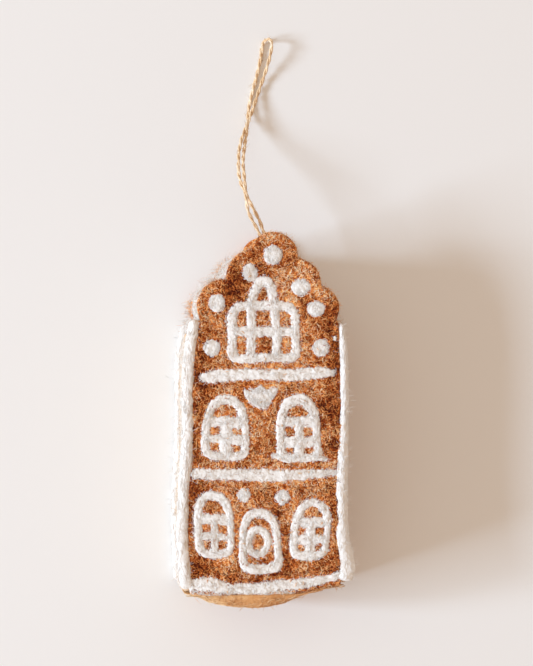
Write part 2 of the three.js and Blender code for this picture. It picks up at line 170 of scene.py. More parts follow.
def new_mesh(name, points, faces, maps, tone=None):
    """A mesh object from arrays: points in house millimetres, faces as one array of corner numbers for
    each count of corners, maps with a place on the piece's map for every face corner, and a tone for each
    point."""
    points = np.asarray(points, float).reshape(-1, 3)
    mesh = bpy.data.meshes.new(name)
    sizes = np.concatenate([np.full(len(f), f.shape[1]) for f in faces])
    corners = np.concatenate([f.ravel() for f in faces]).astype(np.int32)
    mesh.vertices.add(len(points))
    mesh.vertices.foreach_set("co", settled(points).ravel().astype(np.float32))
    mesh.loops.add(len(corners))
    mesh.loops.foreach_set("vertex_index", corners)
    mesh.polygons.add(len(sizes))
    mesh.polygons.foreach_set("loop_start", (np.cumsum(sizes) - sizes).astype(np.int32))
    mesh.polygons.foreach_set("use_smooth", np.ones(len(sizes), bool))
    mesh.update(calc_edges=True)
    layer = mesh.uv_layers.new(name="OFBake")
    layer.data.foreach_set("uv", np.concatenate(maps).ravel().astype(np.float32))
    if tone is not None:
        shades = mesh.attributes.new("tone", "FLOAT", "POINT")
        shades.data.foreach_set("value", np.ravel(tone).astype(np.float32))
    mesh.validate()
    obj = bpy.data.objects.new(name, mesh)
    bpy.context.scene.collection.objects.link(obj)
    return obj


def grid_faces(rows, cols, wrap_rows):
    """Quads between neighbouring rows and columns, which close on themselves as columns do and rows may,
    and for each corner its row and column unwrapped."""
    i = np.arange(rows if wrap_rows else rows - 1)[:, None]
    j = np.arange(cols)[None, :]
    r = np.stack([i + 0 * j, i + 0 * j, i + 1 + 0 * j, i + 1 + 0 * j], axis=-1).reshape(-1, 4)
    c = np.stack([j + 0 * i, j + 1 + 0 * i, j + 1 + 0 * i, j + 0 * i], axis=-1).reshape(-1, 4)
    return (r % rows) * cols + c % cols, r, c


def strip(around, along):
    """A map of one chart for shell(): the place across it of every column and along it of every row."""
    return np.stack(np.broadcast_arrays(around[None], along[:, None]), axis=-1)[None]


def rounds(charts):
    """Charts for shell(): (charts, rows, around + 1, 2) from (rows, around, 2) arrays whose first column
    is also the place past the last one."""
    return np.array([np.concatenate([chart, chart[:, :1]], axis=1) for chart in charts])


def shell(points, charts, capped=True, breaks=()):
    """A closed surface from rings, points (rings, around, 3). Each ring closes on itself; the ends close
    in a fan round their middles, or on each other. charts give every row and column its spot on the map,
    (charts, rows, around + 1, 2), and the next chart begins after each row in breaks. Returns points,
    faces and the map, turned so that the volume is positive."""
    rows, cols = points.shape[:2]
    quads, r, c = grid_faces(rows, cols, not capped)
    chart = np.searchsorted(np.asarray(breaks), r[:, :1], side="right") + 0 * r
    flat = points.reshape(-1, 3)
    faces, maps = [quads], [charts[chart, r, c].reshape(-1, 2)]
    if capped:
        j = np.arange(cols)
        k = (j + 1) % cols
        last = (rows - 1) * cols
        faces.append(np.stack([np.full(cols, rows * cols), k, j], axis=1))
        faces.append(np.stack([np.full(cols, rows * cols + 1), last + j, last + k], axis=1))
        ends = [(charts[0, 0], charts[0, 1], j + 1, j), (charts[-1, -1], charts[-1, -2], j, j + 1)]
        for row, near, one, two in ends:
            tip = 2 * row[:-1].mean(axis=0) - near[:-1].mean(axis=0)
            fan = np.stack([np.broadcast_to(tip, (cols, 2)), row[one], row[two]], axis=1)
            maps.append(fan.reshape(-1, 2))
        flat = np.vstack([flat, points[0].mean(axis=0), points[-1].mean(axis=0)])
    triangles = np.vstack([quads[:, :3], quads[:, [0, 2, 3]]] + faces[1:])
    a, b, c = (flat[triangles[:, k]] for k in range(3))
    if np.einsum("ij,ij->i", a, np.cross(b, c)).sum() < 0:
        maps = [m.reshape(len(f), -1, 2)[:, ::-1].reshape(-1, 2) for m, f in zip(maps, faces)]
        faces = [f[:, ::-1] for f in faces]
    return flat, faces, maps


def joined(shells):
    """Several closed surfaces as one set of arrays, their maps side by side in equal columns."""
    points, faces, maps, start = [], [], [], 0
    for index, (p, f, m) in enumerate(shells):
        points.append(p)
        faces += [face + start for face in f]
        maps += [(uv * [0.96, 1] + [0.02 + index, 0]) / [len(shells), 1] for uv in m]
        start += len(p)
    return np.vstack(points), faces, maps


def finished(obj, material, replaces=None):
    """Gives a piece its material and its body, and hides the plain solid that it stands for."""
    obj.data.materials.append(material)
    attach(obj, "root")
    if replaces:
        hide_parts(replaces)
    return obj


# Materials.


def shade(red, green, blue):
    """A screen colour, 0 to 255, as the renderer's linear colour."""
    s = np.array([red, green, blue]) / 255
    linear = np.where(s <= 0.04045, s / 12.92, ((s + 0.055) / 1.055) ** 2.4)
    return (*linear, 1.0)


def ramp(nodes, links, source, stops):
    """A colour ramp over source, with stops of (place, colour)."""
    node = nodes.new("ShaderNodeValToRGB")
    while len(node.color_ramp.elements) < len(stops):
        node.color_ramp.elements.new(0.5)
    for element, (place, color) in zip(node.color_ramp.elements, stops):
        element.position = place
        element.color = shade(*color)
    links.new(source, node.inputs["Fac"])
    return node.outputs["Color"]


def wool_shader(name, roughness, sheen, glow):
    """A new material with a matte shader for wool, its constants set on its own sockets."""
    material = bpy.data.materials.new(name)
    material.use_nodes = True
    nodes, links = material.node_tree.nodes, material.node_tree.links
    shader = nodes["Principled BSDF"]
    shader.inputs["Roughness"].default_value = roughness
    shader.inputs["Specular IOR Level"].default_value = 0.2
    shader.inputs["Sheen Weight"].default_value = sheen
    shader.inputs["Sheen Roughness"].default_value = 0.6
    shader.inputs["Sheen Tint"].default_value = shade(*glow)
    return material, nodes, links, shader


def noise(nodes, links, place, scale, detail, distortion=0):
    """Noise over a place, from 0 to 1."""
    node = nodes.new("ShaderNodeTexNoise")
    node.inputs["Scale"].default_value = scale
    node.inputs["Detail"].default_value = detail
    node.inputs["Distortion"].default_value = distortion
    links.new(place, node.inputs["Vector"])
    return node.outputs["Fac"]


def maths(nodes, links, operation, one, constant=0):
    """An operation on one value and a constant, which ABSOLUTE leaves out."""
    node = nodes.new("ShaderNodeMath")
    node.operation = operation
    node.inputs[1].default_value = constant
    links.new(one, node.inputs[0])
    return node.outputs[0]


def curly_lines(nodes, links, place, scale):
    """Thin curled lines, 1 on a line and 0 beside it: a line runs where bent noise passes its middle
    height."""
    height = noise(nodes, links, place, scale, 2, 1.6)
    away = maths(nodes, links, "ABSOLUTE", maths(nodes, links, "SUBTRACT", height, 0.5))
    line = nodes.new("ShaderNodeMapRange")
    line.interpolation_type = "SMOOTHSTEP"
    line.inputs["From Max"].default_value = 0.07
    line.inputs["To Min"].default_value = 1
    line.inputs["To Max"].default_value = 0
    links.new(away, line.inputs["Value"])
    return line.outputs["Result"]


def added(nodes, links, one, other, share):
    """one times share, plus other."""
    node = nodes.new("ShaderNodeMath")
    node.operation = "MULTIPLY_ADD"
    node.inputs[1].default_value = share
    links.new(one, node.inputs[0])
    links.new(other, node.inputs[2])
    return node.outputs[0]


CURL_SCALES = (560, 900)


def felt(name, stops, glow, sheen=0.12, grain=(900, 3200), depth=0.00022, curled=0.0):
    """Felted wool under the loose fibres: the piece's own tone plus fine noise, and two sizes of curled
    lines at the strength of curled, pick the colour, and finer noise raises the surface by up to depth.
    grain has the scales of both noises."""
    material, nodes, links, shader = wool_shader(name, 0.95, sheen, glow)
    place = nodes.new("ShaderNodeTexCoord").outputs["Object"]
    tone = nodes.new("ShaderNodeAttribute")
    tone.attribute_name = "tone"
    speck = noise(nodes, links, place, grain[0], 4, 1.2)
    total = added(nodes, links, speck, tone.outputs["Fac"], 0.9)
    if curled:
        for scale in CURL_SCALES:
            total = added(nodes, links, curly_lines(nodes, links, place, scale), total, curled)
    level = maths(nodes, links, "SUBTRACT", total, 0.45 + 0.7 * curled)
    links.new(ramp(nodes, links, level, stops), shader.inputs["Base Color"])
    bump = nodes.new("ShaderNodeBump")
    bump.inputs["Strength"].default_value = 0.7
    bump.inputs["Distance"].default_value = depth
    links.new(noise(nodes, links, place, grain[1], 3, 0.8), bump.inputs["Height"])
    links.new(bump.outputs["Normal"], shader.inputs["Normal"])
    return material


def fibre(name, stops, glow, sheen=0.2, roughness=0.8, flecked=0.5, end_shade=(200, 196, 192)):
    """Loose fibres: the map's first axis is a fibre's own tone and the second runs along it, where its
    two ends are multiplied by a darker tint, painted shade where they go down into the felt. flecked is
    how much noise along it swings the tone."""
    material, nodes, links, shader = wool_shader(name, roughness, sheen, glow)
    uv = nodes.new("ShaderNodeUVMap")
    uv.uv_map = "OFBake"
    split = nodes.new("ShaderNodeSeparateXYZ")
    links.new(uv.outputs["UV"], split.inputs[0])
    stretch = nodes.new("ShaderNodeVectorMath")
    stretch.operation = "MULTIPLY"
    stretch.inputs[1].default_value = (240, 5, 0)
    links.new(uv.outputs["UV"], stretch.inputs[0])
    fleck = noise(nodes, links, stretch.outputs["Vector"], 1, 1)
    total = added(nodes, links, fleck, split.outputs[0], flecked)
    color = ramp(nodes, links, maths(nodes, links, "SUBTRACT", total, flecked / 2), stops)
    # The two ends' darker tint is painted shade, where the fibre goes down into the felt.
    ends = [(0.0, end_shade), (0.2, (255, 255, 255)), (0.8, (255, 255, 255)), (1.0, end_shade)]
    mix = nodes.new("ShaderNodeMix")
    mix.data_type = "RGBA"
    mix.blend_type = "MULTIPLY"
    mix.inputs["Factor"].default_value = 1
    links.new(color, mix.inputs["A"])
    links.new(ramp(nodes, links, split.outputs[1], ends), mix.inputs["B"])
    links.new(mix.outputs["Result"], shader.inputs["Base Color"])
    return material


# The wools' and the jute's colours, from their deep places to their bright fibres.
GINGER = [
    (0.0, (74, 20, 4)), (0.3, (144, 58, 16)), (0.5, (206, 106, 42)), (0.75, (250, 162, 84)),
    (1.0, (255, 216, 150)),
]
GINGER_FIBRE = [
    (0.0, (86, 26, 6)), (0.3, (166, 70, 22)), (0.52, (232, 134, 60)), (0.78, (255, 194, 124)),
    (1.0, (255, 238, 204)),
]
CAMEL = [(0.0, (176, 110, 58)), (0.5, (226, 164, 104)), (1.0, (246, 204, 150))]
CAMEL_FIBRE = [(0.0, (196, 132, 76)), (0.5, (238, 188, 132)), (1.0, (252, 228, 186))]
WHITE = [(0.0, (214, 196, 178)), (0.4, (244, 237, 228)), (1.0, (254, 251, 246))]
WHITE_FIBRE = [
    (0.0, (196, 156, 124)), (0.22, (232, 218, 204)), (0.5, (251, 246, 239)), (1.0, (255, 252, 248)),
]
CORE = [(0.0, (190, 172, 146)), (1.0, (230, 220, 202))]
SIDE_WOOL = [(0.0, (190, 134, 84)), (0.5, (224, 186, 144)), (1.0, (244, 232, 214))]
SIDE_FIBRE = [
    (0.0, (206, 156, 106)), (0.3, (228, 198, 160)), (0.6, (244, 234, 220)), (1.0, (254, 251, 246)),
]
JUTE = [(0.0, (184, 130, 80)), (0.5, (240, 208, 166)), (1.0, (255, 242, 220))]
JUTE_FIBRE = [(0.0, (204, 156, 106)), (0.5, (246, 220, 184)), (1.0, (255, 246, 230))]

ginger_felt = felt("ginger felt", GINGER, (222, 150, 98), sheen=0.06, curled=0.42)
ginger_fibre = fibre("ginger fibres", GINGER_FIBRE, (240, 170, 110), sheen=0.12)
camel_felt = felt("camel felt", CAMEL, (230, 190, 140))
camel_fibre = fibre("camel fibres", CAMEL_FIBRE, (240, 210, 170))
white_wool = felt("white wool", WHITE, (255, 250, 244), depth=0.00016)
white_fibre = fibre("white fibres", WHITE_FIBRE, (255, 252, 246), flecked=0.6, end_shade=(242, 236, 230))
side_wool = felt("side wool", SIDE_WOOL, (255, 250, 244), depth=0.00016)
side_fibre = fibre("side fibres", SIDE_FIBRE, (255, 252, 246), end_shade=(236, 228, 220))
core_wool = felt("core wool", CORE, (240, 230, 215))
jute_ply = felt("jute ply", JUTE, (240, 214, 172), sheen=0.05, grain=(2600, 5200), depth=0.0001)
jute_fibre = fibre("jute fibres", JUTE_FIBRE, (246, 226, 192), sheen=0.05, roughness=0.6)

# The camera.

CAMERA_TILT = np.radians(6)
CAMERA_FAR = 0.7
CAMERA_UP = 0.029  # from the model's origin, where the middle of the picture is
camera = bpy.data.objects.new("camera", bpy.data.cameras.new("camera"))
bpy.context.scene.collection.objects.link(camera)
across, up = np.sin(CAMERA_TILT) * CAMERA_FAR, np.cos(CAMERA_TILT) * CAMERA_FAR
camera.location = (-across, CAMERA_UP, DEPTH / 1000 + up)
camera.rotation_euler = (0, -CAMERA_TILT, 0)
camera.data.lens = 117.3
camera.data.sensor_width = 36
camera.data.clip_start = 0.01
bpy.context.scene.camera = camera

# Helpers for fibres.

# Nothing goes nearer to the table than this: fibres, the felt, the corner strands and the twine's hairs.
LOWEST, LOWEST_FELT, LOWEST_STRAND, LOWEST_HAIR = 0.02, 0.03, 0.04, 0.06
STEPS = 6  # points along a fibre
ALONG = np.linspace(0, 1, STEPS)[None, :, None]  # how far along its fibre each of them is
MOST_FIBRES = 6000  # in one piece, which keeps it under the triangles that a piece may have


def tubes(middles, normals, radius, tone):
    """Fibres as closed tubes, all at once. middles (count, steps, 3) are their lines and normals the
    surface's own, which set each ring's frame; a fibre is thinner at both ends. On the map a fibre is a
    narrow upright strip at its tone, so that fibres of one tone share a place."""
    count, steps = middles.shape[:2]
    sides = 3
    along = unit(np.gradient(middles, axis=1))
    side = unit(np.cross(along, normals))
    up = np.cross(side, along)
    angle = TURN * np.arange(sides) / sides
    v = np.linspace(0, 1, steps)
    thick = radius[:, None] * (0.45 + 0.55 * np.sin(np.pi * v) ** 0.6)[None, :]
    ring = np.cos(angle)[:, None] * side[:, :, None] + np.sin(angle)[:, None] * up[:, :, None]
    points = middles[:, :, None] + thick[:, :, None, None] * ring
    points[..., 2] = np.maximum(points[..., 2], LOWEST)
    quads, r, c = grid_faces(steps, sides, False)
    first = (np.arange(count) * steps * sides)[:, None, None]
    tip = np.arange(sides)
    low, high = tip[::-1], (steps - 1) * sides + tip
    u = np.clip(tone, 0.01, 0.97)[:, None, None]
    wide = 0.012  # of a fibre's strip on the map
    quad_map = np.stack(np.broadcast_arrays(u + wide * c / sides, v[r]), axis=-1)
    end_u = np.broadcast_to(u + wide * tip / sides, (count, 1, sides))
    low_map = np.stack([end_u[:, :, ::-1], np.zeros_like(end_u)], axis=-1)
    high_map = np.stack([end_u, np.ones_like(end_u)], axis=-1)
    faces = [(first + quads).reshape(-1, 4), (first + low).reshape(-1, 3), (first + high).reshape(-1, 3)]
    maps = [quad_map.reshape(-1, 2), low_map.reshape(-1, 2), high_map.reshape(-1, 2)]
    return points.reshape(-1, 3), faces, maps


def fibres(name, middles, normals, radius, tone, material):
    """Fibre pieces of at most MOST_FIBRES each."""
    pieces = []
    for part, start in enumerate(range(0, len(middles), MOST_FIBRES)):
        some = slice(start, start + MOST_FIBRES)
        points, faces, maps = tubes(middles[some], normals[some], radius[some], tone[some])
        label = name if len(middles) <= MOST_FIBRES else f"{name}_{part + 1}"
        pieces.append(finished(new_mesh(label, points, faces, maps), material))
    return pieces


def curls(rng, roots, heading, length, bend):
    """Fibres in the plane, (count, STEPS, 2). Each turns steadily by an angle with a spread of bend
    radians, swings about once with a third of that spread, and has its middle at its root."""
    count = len(roots)
    v = np.linspace(0, 1, STEPS - 1)[None]
    turn = rng.normal(0, bend, (count, 1)) * (v - 0.5)
    swing = rng.normal(0, bend / 3, (count, 1))
    swing = swing * np.sin(TURN * (rng.uniform(0.7, 1.6, (count, 1)) * v + rng.random((count, 1))))
    way = circle(heading[:, None] + (turn + swing))
    line = np.cumsum(way * (length / (STEPS - 1))[:, None, None], axis=1)
    line = np.concatenate([np.zeros((count, 1, 2)), line], axis=1)
    return roots[:, None] + line - line.mean(axis=1, keepdims=True)


def arched(rng, count, rise, stray):
    """Heights along fibres: most start and end 0.1 mm down in the felt and arch up by about rise, and
    the share stray of them lift their far end by four to nine times as much."""
    v = ALONG[..., 0]
    rise = rise * rng.uniform(0.3, 1.6, (count, 1))
    lying = -0.1 + (rise + 0.1) * np.sin(np.pi * v)
    loose = -0.1 + rise * rng.uniform(4, 9, (count, 1)) * v**1.7
    return np.where(rng.random((count, 1)) < stray, loose, lying)


# The twine loop.

TWIST = 7.4  # length of one turn of the plies round each other
# The middle of the twine, from one end to the other: across, up from the model's origin, over the table.
LOOP_ROUTE = np.array([
    (0.46, 53.2, 18), (0.46, 56, 18), (0.4, 59, 18), (-0.6, 62.1, 18.3), (-2.2, 65, 18.6),
    (-3.9, 68.3, 18.8), (-4.7, 71.5, 18.7), (-5, 74.8, 18.1), (-5.2, 78.1, 17), (-5.3, 81.5, 15.2),
    (-5.4, 85.3, 12.6), (-4.8, 89.7, 9.2), (-3.6, 96, 4.6), (-2.8, 101.3, 1.9), (-2.1, 106.5, 0.9),
    (-0.9, 111.5, 0.7), (0.6, 117, 0.7), (1.7, 122.2, 0.7), (2.3, 126.2, 0.7), (3.1, 127.8, 1.3),
    (4.2, 128.2, 2.7), (5, 127.3, 4.1), (5, 125.6, 4.6), (4.5, 122.2, 4.1), (3.5, 118.4, 2.8),
    (2.3, 114.6, 1.7), (0.9, 110.6, 1.3), (-0.5, 106.5, 2), (-2, 102.4, 3.2), (-3.7, 98.2, 4.9),
    (-5.4, 93.9, 6.8), (-6.5, 89.5, 9.6), (-6.9, 85.2, 12.3), (-6.9, 81.4, 14.3), (-6.1, 78, 15.5),
    (-4.6, 74.7, 16.1), (-3.1, 71.6, 16.6), (-1.6, 68.6, 17.1), (-0.1, 65.4, 17.7), (1, 62.2, 18),
    (1.9, 59.1, 18), (1.96, 56, 18), (1.96, 53.2, 18),
])
PLY_SIDES = 10
AWRY = [0.13, 0.09, 1.0]  # nearly upright, and not the direction of any path


def frames(path):
    """Two directions across a path at each of its points, at right angles to it and to each other."""
    along = unit(np.gradient(path, axis=0))
    side = unit(np.cross(along, AWRY))
    return side, np.cross(side, along)


def spun(path, twist, ply, offset, seed, ring=False):
    """One ply of twine: a tube whose middle winds round the path at offset, one turn for every twist
    millimetres, with a radius of ply times 1 + 0.14 noise along it. Returns a closed surface."""
    run = run_along(path)
    side, up = frames(path)
    turn = TURN * run / twist + (np.pi if seed % 2 else 0)
    middle = path + offset * (np.cos(turn)[:, None] * side + np.sin(turn)[:, None] * up)
    side, up = frames(middle)
    angle = np.linspace(0, TURN, PLY_SIDES, endpoint=False)
    rough = flat_noise(run[:, None] + 0 * angle, 3 * angle + 0 * run[:, None], (1.7, 1.3), seed)
    radius = ply * (1 + 0.14 * rough)
    out = np.cos(angle)[None, :, None] * side[:, None] + np.sin(angle)[None, :, None] * up[:, None]
    points = middle[:, None] + radius[..., None] * out
    rows = np.linspace(0.01, 0.99, len(path) + ring)
    return shell(points, strip(np.linspace(0, 1, PLY_SIDES + 1), rows), capped=not ring)


# Two plies wound round each other along the route, and hairs that stand off them.
twine_path = smooth_path(LOOP_ROUTE + [0, MIDDLE, 0], 0.32, space=3)
points, faces, maps = joined([spun(twine_path, TWIST, 0.335, 0.3, seed) for seed in (2, 3)])
twine = new_mesh("twine_loop", points, faces, maps, toned(points, 0.5, 0.28, 1.1, 5))
twine.data.materials.append(jute_ply)

rng = np.random.default_rng(11)
HAIRS = 420
at = rng.integers(2, len(twine_path) - 2, HAIRS)
along = unit(np.gradient(twine_path, axis=0))[at]
around = unit(np.cross(along, rng.normal(size=(HAIRS, 3))))
length = rng.uniform(1.2, 4.6, (HAIRS, 1, 1))
lean = rng.uniform(-1, 1, (HAIRS, 1, 1))
away = (0.05 + 0.75 * rng.random((HAIRS, 1, 1)) ** 2) * length * ALONG**1.6 * 0.6
hair = twine_path[at][:, None] + 0.5 * around[:, None] + length * ALONG * lean * along[:, None]
hair = hair + away * around[:, None]
hair[..., 2] = np.maximum(hair[..., 2], LOWEST_HAIR)
normals = np.broadcast_to(around[:, None], hair.shape)
radius = rng.uniform(0.03, 0.06, HAIRS)
twine_hairs = fibres("twine_hairs", hair, normals, radius, rng.random(HAIRS), jute_fibre)
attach(twine, "root")
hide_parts("hanging_loop")

# The outline of the house.


def reach(angle, edge, inset=0.0, lobe_inset=None, lobes=LOBES):
    """How far the outline is from the hub in each direction. The straight sides, shoulders and foot give
    the smooth least of their distances, each lobe the far side of its circle, and the outline is the
    smooth greatest of these. edge is the sides' place at the shoulders, and the insets make it
    smaller."""
    lobe_inset = inset if lobe_inset is None else lobe_inset
    way = circle(angle)
    corner = np.array([edge, SHOULDER]) - HUB
    planes = [((0, -1), HUB[1]), ((0, 1), SHOULDER_TOP - HUB[1])]
    for hand, lean in ((-1, LEAN_LEFT), (1, LEAN_RIGHT)):
        for normal in (unit(np.array([SHOULDER, FLARE])), unit(np.array([SHOULDER_TOP - SHOULDER, lean]))):
            planes.append((normal * [hand, 1], normal @ corner))
    away = []
    for normal, far in planes:
        facing = way @ np.array(normal, float)
        away.append(np.where(facing > 1e-3, (far - inset) / np.maximum(facing, 1e-3), 1e3))
    away = np.array(away)
    soft = 0.7  # how widely neighbouring forms run into each other
    least = away.min(axis=0)
    straight = least - soft * np.log(np.exp(-(away - least) / soft).sum(axis=0))
    reaches = [straight]
    for x, y, radius in lobes:
        middle = np.array([x, y]) - HUB
        near = way @ middle
        inside = near**2 - middle @ middle + (radius - lobe_inset) ** 2
        reaches.append(np.where(near > 0, near + np.sign(inside) * np.sqrt(np.abs(inside)), 0))
    reaches = np.array(reaches)
    most = reaches.max(axis=0)
    return most + soft * np.log(np.exp((reaches - most) / soft).sum(axis=0))


def even_angles(edge, count):
    """Directions from the hub that are an even length apart along the outline, from the foot round."""
    angle = np.linspace(-np.pi / 2, 1.5 * np.pi, 6001)
    run = run_along(reach(angle, edge)[:, None] * circle(angle))
    return np.interp(np.linspace(0, run[-1], count, endpoint=False), run, angle)


# The drawing's strokes.

# Middles of the white strokes on the finished front, each a closed ring or an open line: across, up from
# the foot, and width.
STROKES = {
    "attic_window": [
        ("ring", [
            (-11.3, 89, 3.1), (-11.1, 85.2, 2.9), (-11, 81, 2.7), (-11.3, 78.1, 3.1), (-9.7, 75.9, 2.7),
            (-5.2, 75.9, 2.6), (-0.3, 76.1, 2.6), (4.5, 76.1, 2.6), (8.4, 76.2, 2.7), (9.7, 78.4, 2.9),
            (9.5, 81, 2.6), (9.3, 85.2, 2.6), (9.4, 89, 2.7), (8.5, 91.6, 2.7), (6.5, 92.8, 2.9),
            (2.9, 93, 2.9), (-1.3, 93.1, 2.9), (-5.8, 93.1, 2.7), (-8.7, 92.7, 2.6), (-10.5, 91.5, 2.6),
        ]),
        ("line", [(-11.3, 84.7, 2.3), (-5.2, 84.7, 2.9), (1.3, 84.6, 2.9), (9.4, 84.7, 2.3)]),
        ("line", [(-5, 93.2, 2.6), (-4.9, 85.2, 2.7), (-5, 76.1, 2.7)]),
        ("line", [(2.4, 93.2, 2.6), (3.1, 86.8, 2.7), (3.4, 81.9, 2.7), (3.3, 76.1, 2.6)]),
    ],
    "attic_dormer": [
        ("line", [
            (-5.2, 93.6, 2.4), (-4.2, 96.8, 2.6), (-3.1, 99.4, 2.7), (-1.8, 100.7, 3.1), (-0.3, 101, 3.1),
            (1.1, 100, 2.9), (1.9, 97.4, 2.9), (2.4, 93.6, 2.7),
        ]),
    ],
    "upper_left_window_frame": [
        ("ring", [
            (-19.7, 46.5, 2.4), (-19.7, 51.3, 2.3), (-19.4, 54.5, 2.3), (-18.4, 58.7, 2.3),
            (-16.9, 61.1, 2.6), (-14.8, 62.5, 2.7), (-12.6, 62.7, 2.7), (-10.3, 62, 2.6),
            (-8.5, 60.1, 2.6), (-7.3, 56.8, 2.4), (-6.8, 52.9, 2.3), (-6.8, 49, 2.3), (-7.1, 45.6, 2.4),
            (-9, 44.5, 2.4), (-13.2, 44.5, 2.4), (-17.7, 44.7, 2.4),
        ]),
    ],
    "upper_left_window_bars": [
        ("line", [(-19, 55.6, 2.3), (-14.8, 55.6, 2.6), (-10, 55.2, 3.2), (-7.4, 55.3, 2.9)]),
        ("line", [(-19.4, 50.2, 1.9), (-14.8, 50.2, 2.3), (-10, 49.8, 2.7), (-7.1, 49.7, 2.6)]),
        ("line", [(-13.2, 56.1, 2.9), (-13.2, 50.3, 3.2), (-13.3, 44.5, 2.9)]),
    ],
    "upper_right_window_frame": [
        ("ring", [
            (4.7, 45.8, 2.6), (4.6, 51.3, 2.6), (4.6, 55.5, 2.6), (5.4, 59, 2.7), (7.1, 61.5, 3.1),
            (10.2, 62.8, 3.3), (12.9, 61.8, 3.2), (14.7, 59.5, 2.9), (15.8, 56.1, 2.6), (16.1, 51.9, 2.3),
            (16.5, 48.1, 2.1), (16.9, 45.2, 2.3), (14.5, 43.9, 2.3), (10.3, 43.9, 2.3), (6.3, 44, 2.6),
        ]),
        ("line", [(5.8, 44.2, 1.9), (3.5, 44.4, 1.5), (1.8, 44.7, 0.8)]),
        ("line", [(15.8, 44.2, 1.9), (17.7, 43.7, 1.5), (19.7, 43.2, 0.8)]),
    ],
    "upper_right_window_bars": [
        ("line", [(5.5, 55.5, 2.3), (10.3, 55.5, 2.6), (15.5, 55.6, 2.9)]),
        ("line", [(5.2, 49, 2.9), (10.3, 49, 2.6), (15.8, 49, 2.9)]),
        ("line", [(10.6, 56.1, 2.3), (10.6, 49.7, 2.4), (10.6, 43.9, 2.6)]),
    ],
    "lower_left_window_frame": [
        ("ring", [
            (-22.1, 27.1, 2.3), (-22.2, 22.3, 2.3), (-22, 17.4, 2.3), (-21.2, 14.4, 2.4),
            (-19, 13.1, 2.4), (-15.8, 13, 2.4), (-12.9, 13.4, 2.3), (-11.7, 15, 1.9), (-11.5, 19, 1.8),
            (-11.7, 23.9, 1.9), (-12.5, 27.7, 2.3), (-14, 30.5, 2.6), (-16.1, 31.7, 2.7),
            (-18.2, 32.1, 2.7), (-20.5, 31, 2.6), (-21.7, 29.2, 2.4),
        ]),
    ],
    "lower_left_window_bars": [
        ("line", [(-21.6, 24.2, 2.4), (-17.1, 24.3, 2.6), (-11.9, 24.1, 2.6)]),
        ("line", [(-21.6, 19, 2.1), (-17.1, 18.8, 1.9), (-11.9, 18.5, 1.8)]),
        ("line", [(-16.9, 24.2, 1.8), (-16.8, 19, 1.9), (-16.8, 13.2, 1.9)]),
    ],
    "lower_right_window_frame": [
        ("ring", [
            (9, 13.2, 2.3), (8.9, 17.4, 2.3), (9.2, 21.3, 2.3), (10.3, 25.2, 2.3), (11.8, 27.9, 2.3),
            (14.5, 29.5, 2.3), (17.3, 28.6, 2.3), (19.2, 26.5, 2.3), (19.9, 23.2, 2.1), (19.8, 20, 1.9),
            (19.3, 16.5, 1.9), (18.6, 13.4, 2.1), (15.8, 12.2, 2.6), (11.9, 12.1, 2.6),
        ]),
    ],
    "lower_right_window_bars": [
        ("line", [(10.3, 23, 2.3), (14.5, 23, 2.4), (19.4, 22.9, 2.3)]),
        ("line", [(9.7, 17.5, 2.7), (14.5, 17.4, 2.6), (19, 17.4, 2.3)]),
        ("line", [(14.4, 23.2, 2.3), (14.3, 17.4, 2.4), (14.1, 12.3, 2.6)]),
    ],
    "door_frame": [
        ("ring", [
            (-7.5, 20.6, 2.1), (-7.7, 15.8, 2.1), (-7.7, 11.6, 2.3), (-6.8, 8.9, 2.7), (-4.4, 8.1, 2.9),
            (-0.6, 8.1, 2.9), (2.6, 8.6, 2.9), (4, 10.6, 2.4), (3.6, 14.2, 2.1), (3.4, 18.1, 2),
            (2.7, 21.9, 2.2), (1.1, 24.6, 2.6), (-1.9, 26.2, 2.7), (-4.8, 25.7, 2.6), (-6.6, 23.6, 2.3),
        ]),
    ],
    "door_wreath": [
        ("ring", [
            (0.55, 16.9, 2), (-0.4, 19.6, 2.1), (-2.7, 20.8, 2.2), (-5, 19.6, 2.1), (-5.95, 16.8, 2),
            (-5.1, 13.9, 2.1), (-2.8, 12.8, 2.1), (-0.5, 13.9, 2),
        ]),
    ],
    "upper_floor_band": [
        ("line", [
            (-21.6, 69.8, 1.9), (-18.4, 69.9, 3.5), (-13.2, 70.5, 3.5), (-6.8, 70.9, 3.3),
            (1.3, 70.9, 3.2), (7.1, 70.5, 3.5), (12.6, 71, 3.4), (17.4, 71.4, 3.1), (22.3, 71.2, 1.3),
        ]),
    ],
    "lower_floor_band": [
        ("line", [
            (-24.4, 39, 2.6), (-19.7, 38.8, 3.2), (-12.9, 38.6, 3.1), (-1.9, 38.3, 3.6), (7.7, 38.3, 3.2),
            (15.8, 38.7, 2.6), (22.9, 39, 1.5),
        ]),
    ],
    "foot_band": [
        ("line", [
            (-25.8, 2.7, 2.9), (-20.3, 3.5, 4.2), (-16.6, 3, 3.9), (-12.9, 2.1, 3.1), (-6.8, 1.8, 2.9),
            (-1.8, 1.9, 3), (3.7, 2.7, 3.2), (13, 3.4, 3), (20.3, 4.5, 2.5), (24.5, 6, 2.6),
        ]),
    ],
}
# The tulip's outline, across and up, with its three petals' tips.
TULIP = [
    (-7.5, 65.9), (-7.1, 66.7), (-6.2, 67.1), (-5.2, 66.4), (-4, 65), (-3.4, 66), (-2.7, 67),
    (-1.8, 67.3), (-1.1, 66.7), (-0.6, 64.9), (0.3, 66.1), (1.5, 66.5), (2.8, 66.6), (4, 66.5),
    (3.6, 65.1), (2.9, 63.8), (2, 62.5), (1, 61), (-0.4, 59.4), (-2.8, 60), (-5, 60.9), (-6.5, 62.7),
    (-7.3, 64.5),
]
# How high the strokes stand, the bars, which are pressed a little further in, and the dots.
STROKE_HEIGHT = 0.36
BAR_HEIGHT = 0.29
DOT_HEIGHT = 0.42
STROKE_WIDER, BAR_WIDER = 1.06, 1.2  # than their middles' widths say, because their edges are loose
STROKE_STEP = 0.3  # along a stroke's middle

FLECK = "stray_fleck"
